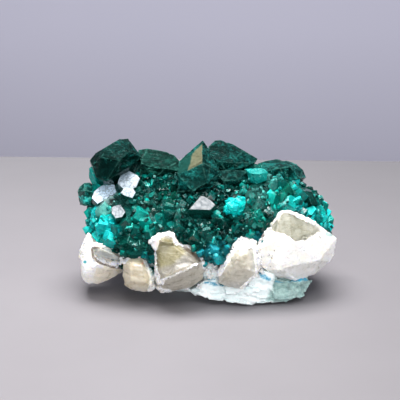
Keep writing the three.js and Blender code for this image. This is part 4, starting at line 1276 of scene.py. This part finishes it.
# For each crystal: white crust as paths in the front view with a width, white areas, and how warm its core is.
CRUSTS = {
    "calcite_front": dict(
        paths=[
            ([(151, 240), (156, 236), (163, 233), (170, 232.5), (175, 237), (177, 242)], 3.6),
            ([(178, 242), (185, 246), (192, 248.5), (199, 252.5), (204, 260), (205, 268)], 2.6),
            ([(153, 246), (155, 256), (155, 266), (158, 275), (159, 283)], 2.6),
            ([(161, 281), (178, 272.5), (197, 264.5)], 1.0),
            ([(158, 288), (170, 290.5)], 1.6),
        ],
        areas=[[(149, 236), (158, 233), (161, 238), (159, 246), (157, 251), (150, 250)]],
        warm=([(158, 240), (174, 243), (182, 252), (170, 262), (158, 264), (156, 254)], 1.0),
        cool=(0.52, 0.49, 0.43),
        gold=(0.27, 0.245, 0.13),
        base=0.2,
    ),
    "calcite_middle": dict(
        paths=[([(218, 271), (223.5, 261), (230, 250.5), (237, 241), (244, 238), (251, 239), (255, 244)], 6.0), ([(256, 246), (258, 262), (259, 272)], 4.2), ([(259, 272), (250, 281), (242, 288)], 2.2)],
        areas=[],
        warm=([(225, 262), (245, 255), (250, 275), (225, 280)], 0.25),
        cool=(0.50, 0.50, 0.475),
        base=0.1,
    ),
    "calcite_right": dict(
        paths=[([(255, 250), (262, 238), (270, 227), (277, 218), (282, 211), (290, 211.5), (302, 218), (314, 224)], 2.3)],
        areas=[[(254, 251), (264, 236), (271, 231), (285, 234), (296, 240), (306, 240), (318, 232), (338, 237), (336, 252), (330, 262), (318, 261), (279, 269), (264, 271)]],
        warm=([(273, 228), (281, 215), (300, 219), (316, 231), (298, 241), (280, 235)], 1.0),
        cool=(0.94, 0.94, 0.93),
        gold=(0.31, 0.31, 0.245),
        base=0.15,
    ),
    "calcite_left": dict(
        paths=[([(88, 236), (84, 246), (81, 256)], 4.0), ([(95, 258), (108, 264), (121, 266.5)], 2.4)],
        areas=[[(79, 232), (92, 238), (97, 262), (110, 265), (110, 268), (97, 268), (90, 285), (79, 280)]],
        warm=([(96, 266), (122, 266), (122, 274), (100, 284)], 0.8),
        cool=(0.95, 0.91, 0.84),
        gold=(0.95, 0.87, 0.73),
        base=0.3,
    ),
    "calcite_sliver": dict(paths=[([(92, 245), (97, 244), (104, 244.5)], 3.0), ([(108, 245), (120, 253), (125, 259)], 1.2)], areas=[], warm=None, cool=(0.48, 0.52, 0.51), gold=(0.5, 0.52, 0.49), base=0.15),
    "calcite_stub": dict(
        paths=[([(124, 262), (128, 257), (138, 255.5), (144, 258), (148, 267)], 2.6), ([(149, 264), (153, 280), (151, 289)], 4.2)],
        areas=[],
        warm=([(124, 262), (146, 262), (150, 284), (126, 284)], 0.9),
        cool=(0.70, 0.66, 0.57),
        gold=(0.68, 0.61, 0.46),
        base=0.3,
    ),
}


# painted shade: thin dark lines in the crevices where a crystal meets the druse or another crystal: paths in the front
# view, width, strength
LINES = {
    "calcite_left": [([(92, 249), (93, 257), (100, 263), (111, 266.5), (123, 267.5)], 1.5, 0.9)],
    "calcite_sliver": [([(93, 248), (98, 247.5), (106, 249), (114, 252.5), (120, 257)], 1.3, 0.75)],
    "calcite_front": [([(178, 244.5), (187, 249.5), (193, 254), (198, 260.5)], 1.7, 0.75)],
    "calcite_middle": [([(235, 245), (228, 254), (222, 263), (217, 272)], 1.5, 0.75)],
    "calcite_right": [([(270, 226), (263, 237), (260, 248)], 1.4, 0.7)],
}
FLAT_FACE = [(160, 241), (176, 243), (188, 251), (199, 262), (163, 278), (157, 270), (156, 252)]


def calcite(node, k):
    me = remeshed(node + "_crystal", node, 0.17)
    p = drawn(me)
    if node == "calcite_front":
        # its glassy face is one flat plane
        u, v = seen_at(p)
        n = normals(me)
        on = (n @ AHEAD < -0.05) & (p[:, 1] < 2)
        hit = on & inside(u, v, FLAT_FACE)
        a = np.stack([p[hit, 0], p[hit, 2], np.ones(hit.sum())], 1)
        fit = np.linalg.lstsq(a, p[hit, 1], rcond=None)[0]
        plane = np.stack([p[:, 0], p[:, 2], np.ones(len(p))], 1) @ fit
        near = np.where(inside(u, v, FLAT_FACE), to_path(u, v, FLAT_FACE + FLAT_FACE[:1]), 0)
        p[:, 1] += np.where(on, 0.85 * smooth(0.0, 5.0, near) * (plane - p[:, 1]), 0)
        set_coords(me, (p + SHIFT) * MM)
    n = normals(me)
    edges = sharp_edges(node)
    d = edge_distance(p, edges)
    u, v = seen_at(p)
    w = p * 1.0 + 7 * k
    facing = (n[:, 1] < 0.35) | (n[:, 2] > 0.5)
    spec = CRUSTS.get(node, dict(paths=[], areas=[], warm=None, base=0.3))
    crust = spec["base"] * np.clip(fbm(w * 0.5, 3, 31) + 0.35, 0, 1)
    hidden = smooth(-0.5, 2.5, p[:, 1] + 8.0 * (node not in CRUSTS) - 2.0)
    crust = np.maximum(crust, hidden * smooth(-0.05, 0.25, fbm(w * 0.28, 3, 33) + 0.25 * (n[:, 2] - 0.2)))
    rim = 0.75 * smooth(0.5, 0.05, d) * smooth(0.0, 0.45, fbm(w * 0.35, 2, 5))
    if node == "calcite_front":
        rim = np.where(facing & inside(u, v, FLAT_FACE), 0, rim)
        d = np.where(facing & inside(u, v, FLAT_FACE), 9.0, d)
    crust = np.maximum(crust, rim)
    wob_u, wob_v = u + 1.6 * fbm(w * 0.8, 3, 41), v + 1.6 * fbm(w * 0.8, 3, 42)
    for path, width in spec["paths"]:
        crust = np.where(facing, np.maximum(crust, smooth(1.25, 0.5, to_path(wob_u, wob_v, path) / width)), crust)
    grainy = crust.copy()
    even = np.ones(len(p))
    for outline in spec["areas"]:
        hit = facing & inside(wob_u, wob_v, outline)
        crust = np.where(hit, np.maximum(crust, 0.9), crust)
        even = np.where(hit, 0.35, even)
    if node in ("calcite_front", "calcite_right", "calcite_middle"):
        even = np.where(facing, np.minimum(even, 0.4), even)
    warm = np.zeros(len(p))
    if spec["warm"]:
        outline, strength = spec["warm"]
        near = np.where(inside(u, v, outline), 0, to_path(u, v, outline + outline[:1]))
        warm = strength * smooth(7, 0, near) * facing
    warm = np.clip(warm + 0.15 + 0.2 * fbm(w * 0.3, 2, 61), 0, 1)
    # relief: rounded rims, granular crust, cleavage steps, dents
    f, who = cells(w * 1.5, 7)
    f2, who2 = cells(w * 3.4, 8)
    grains = 0.34 * (who - 0.4) + 0.26 * (0.55 - f) + 0.12 * (0.5 - f2)
    lay = w @ np.array([0.22, 0.3, 0.93])
    steps = 0.045 * (np.floor(lay * 1.25 + 0.9 * fbm(w * 0.25, 2, 3)) % 2) + 0.02 * np.sin(lay * 7 + 2 * fbm(w * 0.5, 2, 4))
    dents = 0.16 * fbm(w * 0.35, 3, 13) + 0.05 * fbm(w * 1.4, 3, 14)
    chips = np.clip(fbm(w * 1.1, 3, 19) - 0.05, 0, 1) * smooth(0.9, 0, d) * 0.5
    off = grainy * (grains + 0.12) + (1 - grainy) * even * (steps - 0.03) + 0.7 * even * dents - chips * (1 - 0.5 * grainy)
    off = np.clip(off, -0.6, 0.42)
    p2 = p + n * off[:, None]
    p2 = np.minimum(np.maximum(p2, box_low), box_high)
    set_coords(me, (p2 + SHIFT) * MM)
    stain = np.zeros(len(p))
    if node == "calcite_stub":
        stain = 0.8 * smooth(5.5, 2.0, to_path(wob_u, wob_v, [(149, 261), (153, 269), (155, 279)])) * smooth(-0.5, 0.2, fbm(w * 1.2, 3, 88)) * facing
    if node == "calcite_right":
        stain = 0.5 * smooth(2.5, 1.0, to_path(wob_u, wob_v, [(327, 234), (334, 236)])) * facing
    if node == "calcite_left":
        stain = smooth(2.2, 1.0, np.hypot(u - 85, v - 262)) * facing
    point_float(me, "crust", crust)
    # painted highlight: ridge marks the core's sharp edges, away from the crust and off the hidden back, for light
    # lines along them
    point_float(me, "ridge", smooth(0.35, 0.06, d) * (1 - grainy) * smooth(0.0, 0.4, fbm(w * 0.4, 2, 71)) * (1 - hidden))
    cool = np.array(spec.get("cool", (0.55, 0.52, 0.46)))
    gold = np.array(spec.get("gold", (0.62, 0.55, 0.38)))
    core = cool + (gold - cool) * warm[:, None]
    # painted shade: on the front crystal, faces that point up are up to 60% darker, less so where the core is warm, to
    # offset the light from above
    if node == "calcite_front":
        core = core * (1 - 0.6 * smooth(-0.1, 0.5, n[:, 2]) * (1 - warm))[:, None]
    point_colour(me, "tint", core)
    point_float(me, "stain", stain)
    # painted shade: dark lines along the crevices listed in LINES
    dirt_and_crevice_shade = np.zeros(len(p))
    for path, width, strength in LINES.get(node, []):
        broken = smooth(-0.35, 0.15, fbm(w * 0.9, 2, 93)) if strength < 0.8 else 1.0
        dirt_and_crevice_shade = np.maximum(dirt_and_crevice_shade, strength * smooth(1.2, 0.5, to_path(u, v, path) / width) * broken * facing)
    point_float(me, "dirt_and_crevice_shade", dirt_and_crevice_shade)
    me.polygons.foreach_set("use_smooth", np.ones(len(me.polygons), bool))
    me.set_sharp_from_angle(angle=math.radians(26))
    return link(node + "_crystal", me, M_CALCITE, "calcite", node)


for k, node in enumerate(sorted(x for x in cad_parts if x.startswith("calcite"))):
    calcite(node, k)


# ------------------------------------------------------------------ crumbs of calcite along the rims and between the crystals
def lumps(number):
    out = []
    for _ in range(number):
        bm = bmesh.new()
        bmesh.ops.create_icosphere(bm, subdivisions=1, radius=1.0)
        for w in bm.verts:
            w.co *= rng.uniform(0.62, 1.15)
        bmesh.ops.convex_hull(bm, input=bm.verts)
        bm.verts.index_update()
        out.append((np.array([w.co[:] for w in bm.verts]), [[w.index for w in f.verts] for f in bm.faces]))
        bm.free()
    return out


LUMPS = lumps(14)
crumbs, dirt_and_crevice_shade = Pile(), []
eye_at = Vector(EYE)


def seen_point(tree, u, v):
    d = Vector(AHEAD + (u - 200) / UNITS * RIGHT + (200 - v) / UNITS * UP).normalized()
    co, no, _, _ = tree.ray_cast(eye_at, d)
    return (None, None) if co is None else (np.array(co[:]), np.array(no[:]))


def crumb(at, r, dirt):
    v, faces = LUMPS[int(rng.integers(len(LUMPS)))]
    w = (v * r * rng.uniform(0.7, 1.2, 3)) @ turn_to(rng.normal(0, 1, 3), rng.uniform(0, 6.28)).T + at
    if (w < box_low).any() or (w > box_high).any():
        return
    crumbs.add(w, faces, np.array([1.0, 1.0, 1.0]))
    dirt_and_crevice_shade.append(np.full(len(w), dirt))


for node, spec in CRUSTS.items():
    tree = tree_of([node])
    for path, width in spec["paths"]:
        for (a, b), (c, d) in zip(path[:-1], path[1:]):
            for t in np.arange(0, 1, 0.42 / max(math.hypot(c - a, d - b), 0.5)):
                u = a + (c - a) * t + rng.normal(0, 0.34 * width)
                v = b + (d - b) * t + rng.normal(0, 0.34 * width)
                co, no = seen_point(tree, u, v)
                if co is None:
                    continue
                r = 0.13 + 0.24 * rng.random() ** 2.2
                brown = 0.4 if node == "calcite_front" and 184 < u < 200 and v < 256 else 0.06
                crumb(co + no * rng.uniform(-0.12, 0.14), r, 0.8 * (rng.random() < brown))
everything = tree_of(list(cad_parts))
for u, v, r in (
    (211, 264, 0.6), (213, 265.5, 0.4), (210, 273, 1.0), (214, 271, 0.7), (206.5, 270, 0.6), (208, 277, 0.5), (259, 268, 0.8),
    (262, 272, 0.6), (258, 258, 0.9), (261, 263, 0.7), (257, 276, 0.6), (187, 289, 0.6), (200, 286, 0.6), (216, 266, 0.5),
    (204, 264, 0.5), (121, 262, 0.7), (123, 258, 0.6), (155, 284, 0.7), (156, 274, 0.6), (260, 246, 0.7), (258, 252, 0.8),
):
    co, no = seen_point(everything, u, v)
    if co is None:
        continue
    for _ in range(7):
        crumb(co + np.append(rng.normal(0, 0.35 * r, 2), rng.normal(0, 0.35 * r)), r * rng.uniform(0.35, 0.75), 0.0)
crumb_mesh = crumbs.build("calcite_crumbs", M_CALCITE, "calcite").data
point_float(crumb_mesh, "crust", np.ones(len(crumb_mesh.vertices)))
point_float(crumb_mesh, "dirt_and_crevice_shade", np.concatenate(dirt_and_crevice_shade))


# ------------------------------------------------------------------ host rock
def host_rock():
    me = remeshed("host_rock_stone", "host_rock", 0.235)
    p = drawn(me)
    n = normals(me)
    u, v = seen_at(p)
    f, who = cells(p * 0.75, 17)
    f2, who2 = cells(p * 2.2, 18)
    lay = p @ np.array([0.10, 0.12, 0.98]) + 1.5 * fbm(p * 0.16, 2, 23) + 0.5 * fbm(p * 0.6, 2, 29)
    strata = 0.30 * (np.floor(lay * 0.62) % 2) + 0.12 * (np.floor(lay * 2.1) % 2)
    side = smooth(0.9, 0.5, np.abs(n[:, 2]))
    f3, who3 = cells(p * np.array([0.3, 0.3, 0.55]) + 0.3 * fbm(p * 0.6, 2, 31)[:, None], 19)
    off = 0.4 * fbm(p * 0.3, 3, 24) + side * (strata - 0.25) + 1.0 * (who3 - 0.6) + 0.24 * (who - 0.5) + 0.16 * (0.5 - f2) + 0.08 * fbm(p * 2.0, 2, 25)
    off = np.clip(off, -1.6, 0.5)
    under = n[:, 2] < -0.9
    off[under & (p[:, 2] < 0.05)] = 0
    p2 = p + n * off[:, None]
    p2[:, 2] = np.maximum(p2[:, 2], 0.0)
    inward = np.array([3.0, 1.0]) - p2[:, :2]
    inward /= np.linalg.norm(inward, axis=1, keepdims=True) + 1e-6
    p2[:, :2] += inward * (1.6 * np.clip(0.75 - p2[:, 2], 0, 1) * smooth(0, 6, np.linalg.norm(p2[:, :2] - [3.0, 1.0], axis=1)))[:, None]
    p2 = np.minimum(np.maximum(p2, [box_low[0], box_low[1], -1]), box_high)
    set_coords(me, (p2 + SHIFT) * MM)
    wu, wv = u + 3.4 * fbm(p * 0.5, 3, 51), v + 2.4 * fbm(p * 0.5, 3, 52)
    facing = p[:, 1] < 2
    patch = [(271, 300), (277, 279), (300, 280), (322, 274), (318, 290), (305, 297), (290, 303)]
    mint = 0.95 * smooth(6.0, 0.0, np.where(inside(wu, wv, patch), 0, to_path(wu, wv, patch + patch[:1]))) * facing
    mint = np.maximum(mint, 0.35 * smooth(0.35, 0.8, fbm(p * 0.3, 3, 53)))
    stain = np.zeros(len(p))
    for path, width in (([(203, 282), (212, 284.5), (222, 284), (232, 282)], 1.3), ([(255, 268), (260, 274), (268, 279)], 2.0), ([(276, 283), (295, 281), (308, 279.5)], 0.9), ([(206, 277), (214, 280)], 1.2)):
        stain = np.maximum(stain, smooth(1.3, 0.5, to_path(wu, wv, path) / width) * facing)
    seam = smooth(0.16, 0.04, np.abs((lay * 0.62) % 1.0 - 0.02)) * side * 0.6 * smooth(-0.1, 0.4, fbm(p * 0.3, 2, 91))
    seam = np.maximum(seam, 0.7 * smooth(0.1, 0.5, fbm(p * 0.8, 3, 55)) * mint)
    point_float(me, "mint", mint)
    point_float(me, "stain", stain)
    point_float(me, "seam", seam)
    me.polygons.foreach_set("use_smooth", np.ones(len(me.polygons), bool))
    me.set_sharp_from_angle(angle=math.radians(45))
    return link("host_rock_stone", me, M_ROCK, "host_rock", "host_rock")


host_rock()

# ------------------------------------------------------------------ floor, backdrop, light, camera
def stage_material(name, a, b, rough, scale, painted_light_falloff=False):
    n = Nodes(name)
    c = n.put("ShaderNodeTexCoord")
    f = n.put("ShaderNodeTexNoise", {"Vector": c.outputs["Object"], "Scale": scale, "Detail": 4.0})
    col = n.mix(n.spread(f.outputs["Fac"], 0.35, 0.65), a, b)
    if painted_light_falloff:
        # painted light fall-off: the floor gets darker and bluer towards the back and darker towards the right
        xyz = n.put("ShaderNodeSeparateXYZ", {0: c.outputs["Object"]})
        back = n.spread(xyz.outputs["Y"], 0.0, 0.11, 1.0, 0.84)
        right = n.spread(xyz.outputs["X"], -0.01, 0.05, 1.0, 0.80)
        col = n.times(1.0, col, n.put("ShaderNodeCombineColor", {0: n.math("MULTIPLY", back, right), 1: n.math("MULTIPLY", n.math("ADD", n.math("MULTIPLY", back, 0.88), 0.12), right), 2: n.math("MULTIPLY", n.math("ADD", n.math("MULTIPLY", back, 0.85), 0.15), right)}).outputs[0])
    return n.surface(n.principled(Base_Color=col, Roughness=rough))


def sheet(name, corners, material):
    me = bpy.data.meshes.new(name)
    me.from_pydata([Vector(c) for c in corners], [], [tuple(range(len(corners)))])
    ob = bpy.data.objects.new(name, me)
    scene.collection.objects.link(ob)
    me.materials.append(material)
    return ob


sheet("floor", [(-0.9, -0.9, 0), (0.9, -0.9, 0), (0.9, 0.06, 0), (-0.9, 0.15, 0)], stage_material("floor", (0.197, 0.189, 0.203), (0.190, 0.182, 0.196), 0.75, 40, True))
sheet("backdrop", [(-1.2, 0.42, -0.5), (1.2, 0.42, -0.5), (1.2, 0.42, 1.0), (-1.2, 0.42, 1.0)], stage_material("backdrop", (0.475, 0.475, 0.58), (0.49, 0.485, 0.59), 0.9, 6))


def lamp(name, direction, distance, size, radiance, colour=(1, 1, 1), size_y=None):
    d = bpy.data.lights.new(name, "AREA")
    d.shape = "RECTANGLE"
    d.size, d.size_y = size, size_y or size
    d.color = colour
    d.energy = radiance * math.pi * d.size * d.size_y
    ob = bpy.data.objects.new(name, d)
    scene.collection.objects.link(ob)
    v = Vector(direction).normalized()
    at = Vector((0, 0, 0.02))
    ob.location = at + v * distance
    ob.rotation_euler = (-v).to_track_quat("-Z", "Y").to_euler()
    return ob


lamp("overhead", (-0.03, 0.08, 0.97), 0.31, 0.26, 15.2, (1.0, 0.98, 0.97), 0.22)
lamp("warm", (-0.43, 0.16, 0.88), 0.5, 0.06, 12.0, (1.0, 0.9, 0.7))
lamp("front", (0.12, -0.57, 0.82), 0.5, 0.26, 6.6, (1.0, 0.99, 0.98))
lamp("front_low", (0.06, -0.95, 0.22), 0.8, 0.6, 7.0, (0.98, 0.99, 1.0), 0.3)
lamp("left", (-0.95, -0.35, 0.35), 0.7, 0.4, 0.3, (0.95, 0.98, 1.0))
lamp("right", (0.95, -0.25, 0.45), 0.7, 0.35, 0.4, (1.0, 0.98, 0.95))
behind = lamp("behind", (0, 0, 1), 0.5, 0.3, 0.9, (0.98, 0.98, 1.0))
behind.location = (0, 0.2, 0.62)
behind.rotation_euler = (math.radians(78), 0, 0)

world = bpy.data.worlds.new("studio")
scene.world = world
world.use_nodes = True
world.node_tree.nodes["Background"].inputs["Color"].default_value = (0.10, 0.10, 0.12, 1)
world.node_tree.nodes["Background"].inputs["Strength"].default_value = 1.0

cam = bpy.data.cameras.new("camera")
cam.sensor_width = 36
cam.lens = UNITS / 400 * 36
cam.clip_start, cam.clip_end = 0.01, 10
ob = bpy.data.objects.new("camera", cam)
scene.collection.objects.link(ob)
ob.location = Vector((EYE + SHIFT) * MM)
ob.rotation_euler = Vector(AHEAD).to_track_quat("-Z", "Y").to_euler()
scene.camera = ob
scene.view_settings.view_transform = "Standard"
scene.view_settings.look = "None"
